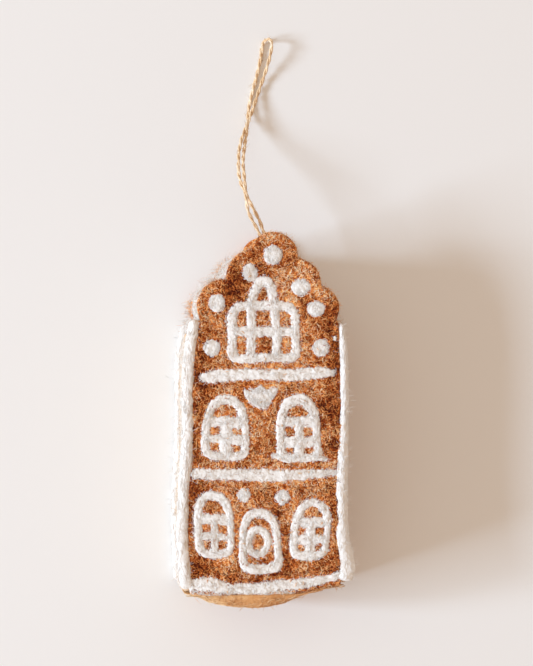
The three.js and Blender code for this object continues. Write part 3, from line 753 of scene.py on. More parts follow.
# The dots: across, up, half width, half height, turn, and how round they are, from 2 for an oval down to
# 1.2 for a diamond. Last comes a small white spot on the brown, which has no solid of its own.
DOTS = {
    "peak_dot": (2.06, 109.3, 3.2, 3.1, 0.3, 2.0),
    "high_left_dot": (-5.35, 103.6, 2.5, 3.05, 0.25, 1.9),
    "high_right_dot": (11.1, 99.0, 3.3, 2.7, 0.1, 1.9),
    "left_dot": (-16.0, 93.8, 2.6, 3.1, 0.1, 2.0),
    "right_dot": (16.1, 92.0, 3.1, 2.45, -0.05, 1.9),
    "low_left_dot": (-17.6, 79.4, 2.8, 2.8, 0.2, 2.0),
    "low_right_dot": (17.65, 79.4, 2.8, 2.9, 0.0, 2.1),
    "door_left_dot": (-7.3, 32.0, 2.2, 2.6, 0.35, 1.5),
    "door_right_dot": (5.2, 31.2, 2.6, 2.8, -0.1, 1.25),
    FLECK: (22.3, 82.5, 0.5, 0.85, 0.1, 2.0),
}


def unbent(line):
    """Takes places on the finished front back to the straight house, by the way that settled() would
    move them."""
    line = np.array(line, float)
    front = np.stack([line[:, 0], line[:, 1], np.full(len(line), DEPTH)], axis=1)
    bent = settled(front) * 1000 + [0, MIDDLE, 0]
    line[:, :2] += line[:, :2] - bent[:, :2]
    return line


def stroke_height(name):
    """How high a piece's strokes stand."""
    return BAR_HEIGHT if name.endswith("bars") else STROKE_HEIGHT


strokes = {}
for name, lines in STROKES.items():
    wider = BAR_WIDER if name.endswith("bars") else STROKE_WIDER
    strokes[name] = [
        (smooth_path(unbent(line) * [1, 1, wider], STROKE_STEP, kind == "ring"), kind == "ring")
        for kind, line in lines
    ]
dots = {name: np.r_[unbent([dot[:2]])[0], dot[2:]] for name, dot in DOTS.items()}

# A fine raster of the front: how far each cell is from the nearest stroke's or dot's edge, and how high
# the white wool stands there. The felt is pressed in beside a stroke, and loose fibres lie over it.
CELL = 0.2
LOW = np.array([-31.0, -9.0])
SHAPE = (310, 660)
off = np.full(SHAPE, 9.0)
dome = np.zeros(SHAPE)


def stamp(line, height):
    """Adds circles along a line, each with its own width, to both rasters."""
    near = 22  # cells on each side, more than the widest circle reaches
    cell = np.round((line[:, :2] - LOW) / CELL).astype(int)
    shift = np.arange(-near, near + 1)
    i = np.clip(cell[:, 0, None, None] + shift[None, :, None], 0, SHAPE[0] - 1) + 0 * shift
    j = np.clip(cell[:, 1, None, None] + shift[None, None, :], 0, SHAPE[1] - 1) + 0 * shift[:, None]
    far = np.hypot(LOW[0] + i * CELL - line[:, 0, None, None], LOW[1] + j * CELL - line[:, 1, None, None])
    half = line[:, 2, None, None] / 2
    np.minimum.at(off, (i, j), far - half)
    np.maximum.at(dome, (i, j), height * np.sqrt(np.clip(1 - (far / half) ** 2, 0, 1)))


for name, lines in strokes.items():
    for line, _ in lines:
        stamp(line, stroke_height(name))
for x, y, wide, high, *_ in dots.values():
    stamp(np.array([[x, y, wide + high]]), DOT_HEIGHT)
tulip_edge = smooth_path(unbent(TULIP), 0.25, closed=True)
tulip_middle = tulip_edge.mean(axis=0)
tulip_fill = tulip_middle + np.linspace(0, 0.8, 9)[:, None, None] * (tulip_edge - tulip_middle)
stamp(np.insert(tulip_fill.reshape(-1, 2), 2, 2.0, axis=1), DOT_HEIGHT)


def read(raster, x, y):
    """The raster's value at each place, blended from the four cells round it."""
    i = np.clip((x - LOW[0]) / CELL, 0, SHAPE[0] - 1.001)
    j = np.clip((y - LOW[1]) / CELL, 0, SHAPE[1] - 1.001)
    a, b = i.astype(int), j.astype(int)
    s, t = i - a, j - b
    here = (1 - t) * raster[a, b] + t * raster[a, b + 1]
    beside = (1 - t) * raster[a + 1, b] + t * raster[a + 1, b + 1]
    return (1 - s) * here + s * beside


# Skins: where a point of each surface lies.


def front_relief(x, y):
    """The front felt's height over its plain face: 0.15 mm and three sizes of noise, less 0.12 mm beside
    the strokes."""
    lumps = layered(x, y, (0.34, 8.5, 21), (0.22, 3.3, 22), (0.13, 1.2, 23))
    return lumps + 0.15 - 0.12 * np.exp(-(np.maximum(read(off, x, y), 0) ** 2))


def back_relief(x, y):
    """The back's unevenness, which is less, because it lies on the table."""
    return layered(x, y, (0.12, 7, 31), (0.08, 2.4, 32))


rim_angles = np.linspace(-np.pi, np.pi, 2881)
rim_reaches = reach(rim_angles, PANEL_SIDE, RIM)


def rim_reach(angle):
    """How far the flat of a panel goes in each direction, from a table."""
    return np.interp(angle, rim_angles, rim_reaches, period=TURN)


def on_panel(x, y, lift, facing):
    """A place on a panel's unrolled skin, (x, y) and a height over the felt, as a point of the house and
    the skin's normal. Up to the rim the skin is flat; then it rolls over a quarter circle and goes down
    the side, where its unevenness fades to 0.4 of itself. facing is 1 for the front and -1 for the
    back."""
    away = np.stack([x - HUB[0], y - HUB[1]], axis=-1)
    far = np.linalg.norm(away, axis=-1)
    way = away / np.maximum(far, 1e-9)[..., None]
    start = rim_reach(np.arctan2(away[..., 1], away[..., 0]))
    past = far - start
    roll = np.clip(past / RIM, 0, np.pi / 2)
    down = RIM * (1 - np.cos(roll)) + np.maximum(past - RIM * np.pi / 2, 0)
    relief = front_relief(x, y) if facing > 0 else back_relief(x, y)
    lift = lift + relief * (1 - 0.6 * eased(past / 4))
    out = np.where(past < 0, far, start + RIM * np.sin(roll)) + np.sin(roll) * lift
    z = (DEPTH if facing > 0 else 0) + facing * (np.cos(roll) * lift - down)
    if facing < 0:
        z = np.maximum(z, LOWEST_FELT)
    normal = np.concatenate([np.sin(roll)[..., None] * way, facing * np.cos(roll)[..., None]], axis=-1)
    return np.concatenate([HUB + out[..., None] * way, z[..., None]], axis=-1), normal


# Dark places of the front, painted shade where the brown wool was needled deepest into dimples, and
# two light ones: across, up, radius and strength.
DARK = np.array([
    (-10.3, 101.3, 3.4, 0.34), (-12.2, 95.6, 3.2, 0.4), (-9, 97.6, 2.6, 0.22), (-1.6, 105, 2, 0.34),
    (8.6, 108.6, 2, 0.3), (12.6, 95.4, 2.4, 0.26), (21.2, 91.4, 2, 0.22), (20.3, 85.8, 2.2, 0.25),
    (22.6, 80.5, 2.8, 0.42), (23, 73.4, 3.2, 0.45), (22.2, 65, 2.8, 0.34), (22.6, 57, 3.4, 0.36),
    (20, 59.5, 2.6, 0.22), (21.8, 49, 3.2, 0.3), (21.5, 33, 2.6, 0.22), (21.8, 26, 2.8, 0.34),
    (-19.7, 76.6, 2.2, 0.36), (-22.6, 71, 2.6, 0.26), (-19.6, 66, 1.8, 0.44), (-22.8, 60, 2.4, 0.34),
    (-22.6, 52, 2.4, 0.24), (-22.8, 44.5, 2.4, 0.34), (-24, 33.5, 2.4, 0.34), (-24.4, 24, 2.2, 0.22),
    (-22.6, 9.6, 3.2, 0.52), (-18.5, 8, 2.8, 0.26), (-10.5, 5.8, 2.8, 0.34), (-2, 5.2, 2.8, 0.3),
    (4.4, 6.6, 2.2, 0.3), (5.6, 12.5, 2, 0.34), (5.8, 20.5, 2.4, 0.3), (4.6, 25.8, 1.8, 0.3),
    (7.4, 30.6, 1.2, 0.24), (-7.6, 58.6, 1.3, 0.4), (-8.4, 48, 1.4, 0.26), (17.8, 61, 1.5, 0.4),
    (17.5, 54.5, 1.6, 0.25), (13.7, 99, 1, 0.5), (19.9, 92.2, 0.9, 0.5), (3.5, 47, 1.8, 0.16),
    (-12.9, 90.5, 1.6, 0.22), (-18, 85.5, 5.5, 0.1), (-1.5, 52, 4.5, -0.07), (2, 114.5, 3, -0.12),
])


def ginger_tone_and_shade(x, y):
    """The brown wool's tone and painted shade: a middle level, three sizes of noise, darker towards both
    sides, the dark places, which are painted shade, and a darker line of painted shade close to the
    strokes, in the groove that they press into the felt."""
    tone = 0.61 + layered(x, y, (0.16, 10, 41), (0.16, 4.1, 42), (0.12, 1.7, 43))
    tone = tone - 0.13 * np.clip(np.abs(x) / 24, 0, 1) ** 4
    # The dark places are painted shade, of dimples needled deep into the felt.
    for across, up, radius, strength in DARK:
        tone = tone - strength * np.exp(-((x - across) ** 2 + (y - up) ** 2) / radius**2)
    # The darker line beside the strokes is painted shade, in the groove they press into the felt.
    return tone - 0.05 * np.exp(-((np.maximum(read(off, x, y), 0) / 0.7) ** 2))


INNER_RIM = 0.6  # radius of a panel's inner edge


def panel_shell(facing, around, across):
    """A panel as rings from the middle of its outer face, over the rim, down the side, round the inner
    rim and back to the middle underneath."""
    angle = even_angles(PANEL_SIDE, around)
    way = circle(angle)
    flat = rim_reach(angle)
    quarter = RIM * np.pi / 2
    straight = PANEL - RIM - INNER_RIM
    past = np.r_[quarter * np.arange(1, 8) / 7, quarter + straight * np.arange(1, 4) / 3]
    far = np.vstack([np.linspace(0.012, 1, across)[:, None] * flat, flat + past[:, None]])
    above = HUB + far[..., None] * way
    skin, _ = on_panel(above[..., 0], above[..., 1], 0 * far, facing)
    bulge = np.linalg.norm(skin[-1, :, :2] - HUB, axis=1) - reach(angle, PANEL_SIDE)
    seam = DEPTH - PANEL if facing > 0 else PANEL
    inner = np.array([reach(angle, PANEL_SIDE, INNER_RIM * (1 - np.cos(t))) + bulge for t in QUARTER])
    under = inner[-1] * np.linspace(1, 0.02, 24)[1:, None]
    depth = np.r_[INNER_RIM * (1 - np.sin(QUARTER)), np.zeros(len(under))][:, None]
    below = HUB + np.vstack([inner, under])[..., None] * way
    rough = 0.12 * flat_noise(below[..., 0], below[..., 1], 2.2, 33) * (depth < 0.01)
    z = seam + facing * depth + rough
    points = np.concatenate([skin, np.concatenate([below, z[..., None]], axis=-1)])
    last = np.repeat(far[-1:] + INNER_RIM * np.pi / 2, len(under), axis=0)
    over = np.vstack([far, far[-1] + INNER_RIM * QUARTER[:, None], last])
    front_chart = (over[..., None] * way + [31, 56]) / 130
    rear_chart = (np.concatenate([0 * skin[..., :2], below - HUB]) + [95, 56]) / 130
    if facing > 0:
        tone = ginger_tone_and_shade(points[..., 0], points[..., 1])
    else:
        tone = toned(points.reshape(-1, 3), 0.56, 0.2, 6, 45).reshape(points.shape[:2])
    surface = shell(points, rounds([front_chart, rear_chart]), breaks=[len(far) + len(QUARTER) - 1])
    return surface, np.r_[tone.ravel(), tone[0].mean(), tone[-1].mean()]


surface, tone = panel_shell(1, 640, 96)
front_panel = finished(new_mesh("front_felt", *surface, tone), ginger_felt, "front_panel")
surface, tone = panel_shell(-1, 400, 44)
back_panel = finished(new_mesh("back_felt", *surface, tone), ginger_felt, "back_panel")

# The sheet of wool round the sides and over the top.

# A table of places along it and of their outward normals, smoothed over SMOOTHED rows to each side.
foot_corner = np.array([SIDE + FLARE, 0]) - HUB
first_angle = np.arctan2(foot_corner[1], -foot_corner[0]) + TURN
sheet_angles = np.linspace(first_angle, np.arctan2(foot_corner[1], foot_corner[0]), 5001)
sheet_far = reach(sheet_angles, SIDE, 0.0, ROOF_INSET, ROOF_LOBES)
sheet_line = HUB + sheet_far[:, None] * circle(sheet_angles)
sheet_run = run_along(sheet_line)
SMOOTHED = 60
kernel = np.hanning(2 * SMOOTHED + 1)
kernel = kernel / kernel.sum()
rough_out = leftwards(unit(np.gradient(sheet_line, sheet_run, axis=0)))
rough_out = np.pad(rough_out, ((SMOOTHED, SMOOTHED), (0, 0)), "edge")
sheet_out = unit(np.stack([np.convolve(column, kernel, "valid") for column in rough_out.T], axis=1))
left_top = sheet_run[np.argmax(sheet_line[:, 1] > EAVES)]
right_top = sheet_run[len(sheet_run) - 1 - np.argmax(sheet_line[::-1, 1] > EAVES)]
SHEET_BACK, SHEET_FRONT = PANEL + GAP, DEPTH - PANEL - GAP
SHEET_SWELL = 0.35
SHEET_END = 0.2  # from the table's ends to the walls' lower ends
LEFT_SEED, RIGHT_SEED, ROOF_SEED = 51, 61, 71  # of the noise on each piece


def along_sheet(t, table):
    """The rows of a table of places or normals, at distances t along the sheet."""
    return np.stack([np.interp(t, sheet_run, table[:, k]) for k in (0, 1)], axis=-1)


def on_sheet(t, z, lift, seed):
    """A place on the sides and roof: t along the sheet from the left foot over the gable to the right
    foot, z across it. It swells in the middle of its width, plus noise."""
    u = (z - DEPTH / 2) / ((SHEET_FRONT - SHEET_BACK) / 2)
    swell = SHEET_SWELL * (1 - np.clip(u, -1, 1) ** 4)
    swell = swell + layered(t, z, (0.34, 6, seed), (0.16, 2.1, seed + 1))
    out = along_sheet(t, sheet_out)
    flat = along_sheet(t, sheet_line) + (lift + swell)[..., None] * out
    return np.concatenate([flat, z[..., None]], axis=-1), np.concatenate([out, 0 * z[..., None]], axis=-1)


def sheet_shell(begin, end, seed, level, spread):
    """A stretch of the sheet as rings across its thickness, one every 0.55 mm along it: over its outer
    face, round its front edge, back over its inner face and round its back edge."""
    t = np.linspace(begin, end, int((end - begin) / 0.55))
    edge = 0.9  # radius of the outer edges
    side = 2.2  # how far down the middle of each side face is
    outer = np.linspace(SHEET_BACK + edge, SHEET_FRONT - edge, 46)
    under = np.linspace(SHEET_FRONT - 0.3, SHEET_BACK + 0.3, 12)
    front_edge = SHEET_FRONT - edge + edge * np.sin(QUARTER)
    back_edge = SHEET_BACK + edge - edge * np.sin(QUARTER[::-1])
    z = np.r_[outer, front_edge, SHEET_FRONT, under, SHEET_BACK, back_edge]
    roll = edge * (1 - np.cos(QUARTER))
    down = np.r_[0 * outer, roll, side, WALL + 0 * under, side, roll[::-1]]
    tt, zz = np.broadcast_arrays(t[:, None], z[None, :])
    points, _ = on_sheet(tt, zz, -np.broadcast_to(down, tt.shape), seed)
    points[:, down >= WALL, :2] = along_sheet(t, sheet_line - WALL * sheet_out)[:, None]
    section = np.r_[0, np.cumsum(np.hypot(np.diff(z), np.diff(down)))]
    section = np.r_[section, section[-1] + 1.4]
    tone = toned(points.reshape(-1, 3), level, spread, 5, seed + 4)
    surface = shell(points, strip(section / 100 + 0.02, (t - begin) / 100 + 0.02))
    return surface, np.r_[tone, level, level]


# The left wall faces the window, so its tone is set lower than its wool's own: painted shade.
for name, begin, end, seed, label, level in [
    ("left_wall", SHEET_END, left_top - 0.1, LEFT_SEED, "left_side_wool", 0.54),
    ("right_wall", right_top + 0.1, sheet_run[-1] - SHEET_END, RIGHT_SEED, "right_side_wool", 0.22),
]:
    surface, tone = sheet_shell(begin, end, seed, level, 0.16)
    wall = finished(new_mesh(label, *surface, tone), side_wool, name)
surface, tone = sheet_shell(left_top + 0.15, right_top - 0.15, ROOF_SEED, 0.28, 0.2)
roof = finished(new_mesh("roof_wool", *surface, tone), white_wool, "roof")

# The foot.

FOOT_HALF = np.array([26.0, 16.8])  # across and from back to front
FOOT_SWELL = 4.7
SWELL_AT = -3.5  # across
SWELL_LEFT, SWELL_RIGHT = 20.5, 17.5  # how far the swelling goes from there


def foot_base(x):
    """The foot's thickness at its edge: 0.8 mm, thinning to 0.2 mm towards both ends."""
    return 0.8 - 0.6 * eased((x - 6) / 14) - 0.6 * eased((-16 - x) / 7)


def foot_pale(x):
    """How much paler the foot is towards its left end, where white wool strayed onto it."""
    return 0.4 * eased((-10 - x) / 10) + 0.3 * eased((-21 - x) / 4)


def on_foot(x, z, lift):
    """A place on the foot's underside, which swells by 4.7 mm times (1 - u squared) times (1 - v to the
    fourth) below its edge, plus noise."""
    half = np.where(x < SWELL_AT, SWELL_LEFT, SWELL_RIGHT)
    u, v = np.clip((x - SWELL_AT) / half, -1, 1), (z - DEPTH / 2) / FOOT_HALF[1]
    swell = FOOT_SWELL * (1 - u**2) * np.clip(1 - v**4, 0, 1)
    rough = layered(x, z, (0.3, 6, 81), (0.15, 2, 82))
    y = -GAP - foot_base(x) - swell - (lift + rough)
    across = FOOT_SWELL * 2 * u / half * (1 - v**4)
    deep = FOOT_SWELL * (1 - u**2) * 4 * v**3 / FOOT_HALF[1]
    slope = np.stack([across, -np.ones_like(x), deep], axis=-1)
    return np.stack([x, y, z], axis=-1), unit(slope)


def foot_shell():
    """The foot as rings: from the middle of its underside to its rounded edge, and back over its flat
    top. Its plan is an oval of the sixth power."""
    below = 50  # rings of the underside, then come those of the edge
    way = circle(np.linspace(0, TURN, 220, endpoint=False))
    edge = (np.abs(way / (FOOT_HALF - 0.3)) ** 6).sum(axis=1) ** (-1 / 6)
    share = np.linspace(0.015, 1, below)[:, None] * edge
    x, z = share * way[:, 0], DEPTH / 2 + share * way[:, 1]
    under, _ = on_foot(x, z, 0 * x)
    rim = []
    for out, low in ((0.25, 0.8), (0.3, 0.5), (0.2, 0.15), (0.0, 0.0)):
        across, deep = (edge + out) * way[:, 0], DEPTH / 2 + (edge + out) * way[:, 1]
        rim.append(np.stack([across, -GAP - low * foot_base(across), deep], axis=-1))
    share = np.linspace(1, 0.02, 14)[1:, None] * edge
    top = np.stack([share * way[:, 0], 0 * share - GAP, DEPTH / 2 + share * way[:, 1]], axis=-1)
    points = np.concatenate([under, rim, top])
    flat = points[..., [0, 2]] - [0, DEPTH / 2]
    low = flat.copy()
    low[below : below + 4] = flat[below - 1] * (1 + 0.03 * np.arange(1, 5)[:, None, None])
    charts = [(low + [30, 22]) / 64, (flat + [30, 22]) / 64 * [1, 0.5] + [0, 0.62]]
    charts[1][:below] = 0
    tone = toned(points.reshape(-1, 3), 0.48, 0.24, 5, 85) + foot_pale(points[..., 0].ravel())
    return shell(points, rounds(charts), breaks=[below + 3]), np.r_[tone, 0.5, 0.5]


surface, tone = foot_shell()
foot = finished(new_mesh("foot_felt", *surface, tone), camel_felt, "foot_pad")

# White strokes, dots and corner strands.


def stroke_ways(line, ring):
    """The direction of a stroke at each of its points."""
    step = np.roll(line, -1, axis=0) - np.roll(line, 1, axis=0) if ring else np.gradient(line, axis=0)
    return unit(step[:, :2])


def stroke_shell(line, ring, height, seed):
    """A strand laid on the front, as rings round its section: cos a across, and up from the felt by the
    height times the 0.8th power of sin a, or 0.35 mm down into it. Its width and height swing with noise,
    some of it drawn out along it and some fine enough to fray its edges, and an open one tapers at both
    ends."""
    sides = 18
    run = np.arange(len(line)) * STROKE_STEP
    across = leftwards(stroke_ways(line, ring))
    end = np.minimum(run, run[-1] - run) if not ring else np.full(len(run), 9.0)
    taper = np.sqrt(np.clip(1 - (1 - np.clip(end / 1.3, 0, 1)) ** 2, 0.02, 1))[:, None]
    a = TURN * np.arange(sides) / sides
    x0, y0 = line[:, :1], line[:, 1:2]
    wave = np.broadcast_to(run[:, None], (len(run), sides))
    wave = np.sin(wave * TURN / run[-1]) if ring else wave
    rough = flat_noise(x0 + 3 * np.cos(a), y0 + 3 * np.sin(a), 1.2, seed)
    grain = flat_noise(wave * 0.35 + 2 * np.cos(a), 2 * np.sin(a) + 0.2 * wave, 0.45, seed + 1)
    ragged = flat_noise(x0 + np.cos(a), y0 - np.cos(a), 0.55, seed + 2)
    half = line[:, 2:3] / 2 * taper
    side = np.cos(a) * half * (1 + 0.2 * rough + 0.15 * grain + 0.27 * ragged)
    above = height * taper * np.abs(np.sin(a)) ** 0.8 * (1 + 0.25 * rough + 0.25 * grain)
    lift = np.where(np.sin(a) > 0, above, -0.35 * np.abs(np.sin(a)))
    points, _ = on_panel(x0 + side * across[:, :1], y0 + side * across[:, 1:], lift, 1)
    rows = (run + 0.6) / (run[-1] + 1.2)
    # The tone is higher on top, where sin a is, and where the noise raises the strand, and lower down its
    # sides: painted light on top, painted shade on its sides.
    tone = 0.42 + 0.24 * np.sin(a) + 0.16 * rough + 0.14 * grain
    if ring:
        rows = np.r_[rows, rows[-1] + STROKE_STEP / (run[-1] + 1.2)]
        tone = tone.ravel()
    else:
        tone = np.r_[tone.ravel(), 0.5, 0.5]
    return shell(points, strip(np.arange(sides + 1) / sides, rows), capped=not ring), tone


for number, (name, lines) in enumerate(strokes.items()):
    height = stroke_height(name)
    made = [stroke_shell(line, ring, height, 100 + 7 * number + k) for k, (line, ring) in enumerate(lines)]
    surface = joined([closed for closed, _ in made])
    tone = np.concatenate([tone for _, tone in made])
    finished(new_mesh(f"{name}_roving", *surface, tone), white_wool, name)


def tuft_shell(middle, edge, seed):
    """A tuft of wool: rings from its top to its edge, where it goes 0.4 mm into the felt, and back
    underneath. edge is its outline's distance from the middle at even angles, and noise makes both
    uneven."""
    angle = np.linspace(0, TURN, len(edge), endpoint=False)
    edge = edge * 0.97 * (1 + 0.09 * flat_noise(3 * np.cos(angle), 3 * np.sin(angle), 1.1, seed))
    rings = 14
    share = np.linspace(0.05, 0.97, rings)
    lift = np.r_[DOT_HEIGHT * (1 - share**2.2) ** 0.9, -0.2, -0.4, -0.4, -0.4][:, None]
    share = np.r_[share, 1.0, 0.95, 0.6, 0.2][:, None]
    place = middle + (share * edge)[..., None] * circle(angle)
    rough = layered(place[..., 0], place[..., 1], (0.16, 1.1, seed + 1), (0.08, 0.5, seed + 2))
    points, _ = on_panel(place[..., 0], place[..., 1], lift + np.where(lift > 0, 0.6 * rough, 0), 1)
    disc = share[..., None] * circle(angle)
    charts = [disc * 0.23 + 0.26, disc * 0.2 + 0.76]
    charts[0][rings + 1 :] = disc[rings] * 0.25 + 0.26
    # The tone rises with the noise that raises the tuft, painted light on its bumps and painted shade in
    # its dips, and is 0.4 where it goes into the felt.
    tone = np.where(lift > 0, 0.7 + rough, 0.4)
    return shell(points, rounds(charts), breaks=[rings]), np.r_[tone.ravel(), 0.6, 0.4]


tufts = {}
angle = np.linspace(0, TURN, 44, endpoint=False)
for name, (x, y, wide, high, turn, roundness) in dots.items():
    sides = np.abs(circle(angle - turn) / [wide, high]) ** roundness
    tufts[name] = (x, y), sides.sum(axis=1) ** (-1 / roundness)
angle = np.linspace(0, TURN, 120, endpoint=False)
away = tulip_edge - tulip_middle
tulip_angles, tulip_far = np.arctan2(away[:, 1], away[:, 0]), np.linalg.norm(away, axis=1)
tufts["tulip"] = tulip_middle, np.interp(angle, tulip_angles, tulip_far, period=TURN)
for number, (name, (middle, edge)) in enumerate(tufts.items()):
    surface, tone = tuft_shell(middle, edge, 300 + 5 * number)
    node = None if name == FLECK else name
    finished(new_mesh(f"{name}_tuft", *surface, tone), white_wool, node)

# The strands along the corners: across, up and width, the front ones as they lie on the finished house.
STRANDS = {
    "front_left_corner": [
        (-23.2, 88.6, 3.4), (-23.6, 83.6, 4.0), (-24.4, 78.7, 4.2), (-25.0, 72.3, 4.2), (-25.2, 62.6, 4.2),
        (-25.2, 52.9, 4.2), (-25.6, 44.8, 4.1), (-26.2, 36.8, 4.0), (-26.7, 28.7, 4.0), (-27.0, 20.6, 4.0),
        (-26.8, 13.5, 4.2), (-26.0, 6.1, 4.6), (-25.4, 1.7, 4.2),
    ],
    "front_right_corner": [
        (24.2, 87.4, 1.6), (24.9, 80.3, 2.6), (25.3, 72.3, 3.0), (25.3, 62.6, 3.2), (25.0, 52.9, 3.5),
        (24.6, 41.6, 4.0), (24.4, 30.3, 4.4), (24.6, 17.4, 5.0), (25.6, 10.3, 6.2), (25.8, 6.4, 6.0),
        (25.0, 3.5, 4.6),
    ],
    "back_left_corner": [
        (-24.0, 87.0, 2.4), (-25.2, 80.0, 2.8), (-26.0, 72.0, 3.0), (-26.1, 40.0, 3.0), (-26.3, 1.0, 3.0),
    ],
    "back_right_corner": [
        (24.0, 87.0, 2.4), (25.2, 80.0, 2.8), (26.0, 72.0, 3.0), (26.1, 40.0, 3.0), (26.3, 1.0, 3.0),
    ],
}
# The middle of each strand from front to back, and half its depth.
STRAND_FRONT, STRAND_BACK = (34.5, 2.25), (1.85, 1.7)
STRAND_STEP = 0.35  # along a strand's middle
# The front right strand lies in the house's shade and is made whiter than the rest: painted light.
STRAND_LEVEL = {"front_right_corner": 0.7}  # of white; the others have LESS_WHITE
LESS_WHITE = 0.4
strands = {}
for number, (name, line) in enumerate(STRANDS.items()):
    front = name.startswith("front")
    middle, half = STRAND_FRONT if front else STRAND_BACK
    line = smooth_path(unbent(line) if front else line, STRAND_STEP)
    strands[name] = line, middle, half, 400 + 10 * number


def on_strand(strand, t, a, lift):
    """A place on a corner strand: t along it, a round it from its outer side, and a height over it. The
    section is an oval of half the line's width by half the depth."""
    line, middle, half, seed = strand
    run = np.arange(len(line)) * STRAND_STEP
    x, y, wide = (np.interp(t, run, line[:, k]) for k in range(3))
    tilt = np.interp(t, run, np.gradient(line[:, 0]) / np.gradient(line[:, 1]))
    end = np.clip(np.minimum(t, run[-1] - t) / 1.6, 0, 1)
    taper = np.sqrt(np.clip(1 - (1 - end) ** 2, 0.03, 1))
    rough = 0.08 * flat_noise(t, 2.2 * a, (2.2, 1.1), seed)
    rough = rough + 0.05 * flat_noise(t, 5 * a, (1.2, 0.6), seed + 1)
    out = np.stack([np.cos(a), -np.cos(a) * tilt, np.sin(a)], axis=-1)
    a_side, a_deep = wide / 2 * taper * (1 + rough), half * taper * (1 + rough)
    scale = np.stack([a_side, a_side, a_deep], axis=-1)
    normal = unit(out / scale)
    place = np.stack([x, y, np.full_like(x, middle)], axis=-1) + out * scale
    return place + lift[..., None] * normal, normal


for name, strand in strands.items():
    line, seed = strand[0], strand[3]
    length = (len(line) - 1) * STRAND_STEP
    along, a = np.linspace(0, length, len(line)), TURN * np.arange(26) / 26
    t, a = np.meshgrid(along, a, indexing="ij")
    points, _ = on_strand(strand, t, a, 0 * t)
    points[..., 2] = np.maximum(points[..., 2], LOWEST_STRAND)
    level = STRAND_LEVEL.get(name, LESS_WHITE)
    tone = np.r_[toned(points.reshape(-1, 3) * [1, 0.4, 1], level, 0.22, 1.2, seed + 5), 0.5, 0.5]
    surface = shell(points, strip(np.arange(27) / 27, (along + 0.6) / (length + 1.2)))
    finished(new_mesh(f"{name}_roving", *surface, tone), white_wool, name)

# Inside: the core wool and the knot.

LOOP_X = 1.217  # between the loop's two ends
LOOP_TOP = 108.07  # where they come out
KNOT_Y = LOOP_TOP - 16.0
CORE_TOP = 103.6
HOLE, MOUTH, BOWL = 1.65, 2.4, 2.6  # radii of the ends' hole, of its mouth and of the knot's room


def core_shell():
    """The core wool as rings up the house, each a rounded rectangle as wide as the outline there, and
    from the top down again into the hole that the loop's ends and their knot fill."""
    around = 72
    angle = np.linspace(0, TURN, around, endpoint=False)
    way = circle(angle)
    box = (np.abs(way) ** 8).sum(axis=1) ** (-1 / 8)
    spread = np.linspace(-np.pi, np.pi, 3001)
    far = reach(spread, SIDE - WALL - GAP, 0.0, ROOF_INSET + WALL + GAP, ROOF_LOBES)
    edge = HUB + far[:, None] * circle(spread)
    up = np.linspace(0.8, CORE_TOP, 120)
    near = np.abs(edge[:, 1][None] - up[:, None]) < 0.6
    right = np.where(near, edge[:, 0], -99).max(axis=1)
    left = np.where(near, edge[:, 0], 99).min(axis=1)
    middle, half = (right + left) / 2, (right - left) / 2 - 0.5
    deep = (SHEET_FRONT - SHEET_BACK) / 2 - 0.3
    walls = np.stack([
        middle[:, None] + half[:, None] * box * way[:, 0],
        up[:, None] + 0 * angle,
        DEPTH / 2 + deep * (box * way[:, 1])[None] + 0 * up[:, None],
    ], axis=-1)
    rough = cloudy(walls.reshape(-1, 3), 5, 91).reshape(walls.shape[:2])
    walls[..., 0] -= 0.35 * way[:, 0] * (1 + rough)
    bowl = np.linspace(0.7, np.pi - 0.15, 10)
    shaft = np.linspace(CORE_TOP - 0.4, KNOT_Y + 2.2, 12)
    hole_up = np.r_[CORE_TOP, shaft, KNOT_Y + BOWL * np.cos(bowl)][:, None] + 0 * angle
    hole_wide = np.r_[MOUTH, HOLE + 0 * shaft, BOWL * np.sin(bowl)][:, None]
    hole = np.stack([LOOP_X + hole_wide * way[:, 0], hole_up, DEPTH / 2 + hole_wide * way[:, 1]], axis=-1)
    points = np.concatenate([walls, hole])
    tone = np.r_[toned(points.reshape(-1, 3), 0.5, 0.3, 5, 92), 0.5, 0.5]
    rows = np.linspace(0.02, 0.98, len(points))
    return shell(points, strip(np.arange(around + 1) / (around + 1), rows)), tone


surface, tone = core_shell()
core = finished(new_mesh("core_filling", *surface, tone), core_wool, "stuffing")

# The knot is a trefoil.
knot_turn = np.linspace(0, TURN, 181)[:-1]
knot = 0.56 * np.stack([
    (2 + np.cos(3 * knot_turn)) * np.cos(2 * knot_turn),
    1.9 * np.sin(3 * knot_turn),
    (2 + np.cos(3 * knot_turn)) * np.sin(2 * knot_turn),
], axis=1) + [LOOP_X, KNOT_Y, DEPTH / 2]
# Each end inside: distance from the middle and height.
END_ROUTE = [(0.75, LOOP_TOP - 0.4), (0.72, LOOP_TOP - 5), (0.7, KNOT_Y + 6), (0.5, KNOT_Y + 1.3)]
ends = [
    smooth_path([(LOOP_X + hand * apart, y, DEPTH / 2) for apart, y in END_ROUTE], 0.3, space=3)
    for hand in (-1, 1)
]
made = [spun(end, TWIST, 0.3, 0.27, seed) for end in ends for seed in (6, 7)]
points, faces, maps = joined(made + [spun(knot, 3.1, 0.5, 0.0, 8, ring=True)])
inside = new_mesh("loop_ends_and_knot", points, faces, maps, toned(points, 0.5, 0.28, 1.1, 9))
finished(inside, jute_ply, "loop_knot")

# Loose fibres.


def scattered(rng, count, past):
    """Random places on a panel's unrolled skin, up to past millimetres beyond where its rim starts."""
    x, y = rng.uniform(-30, 30, 4 * count), rng.uniform(-5, 122, 4 * count)
    far = np.hypot(x - HUB[0], y - HUB[1])
    keep = far < rim_reach(np.arctan2(y - HUB[1], x - HUB[0])) + past
    return np.stack([x, y], axis=1)[keep][:count]


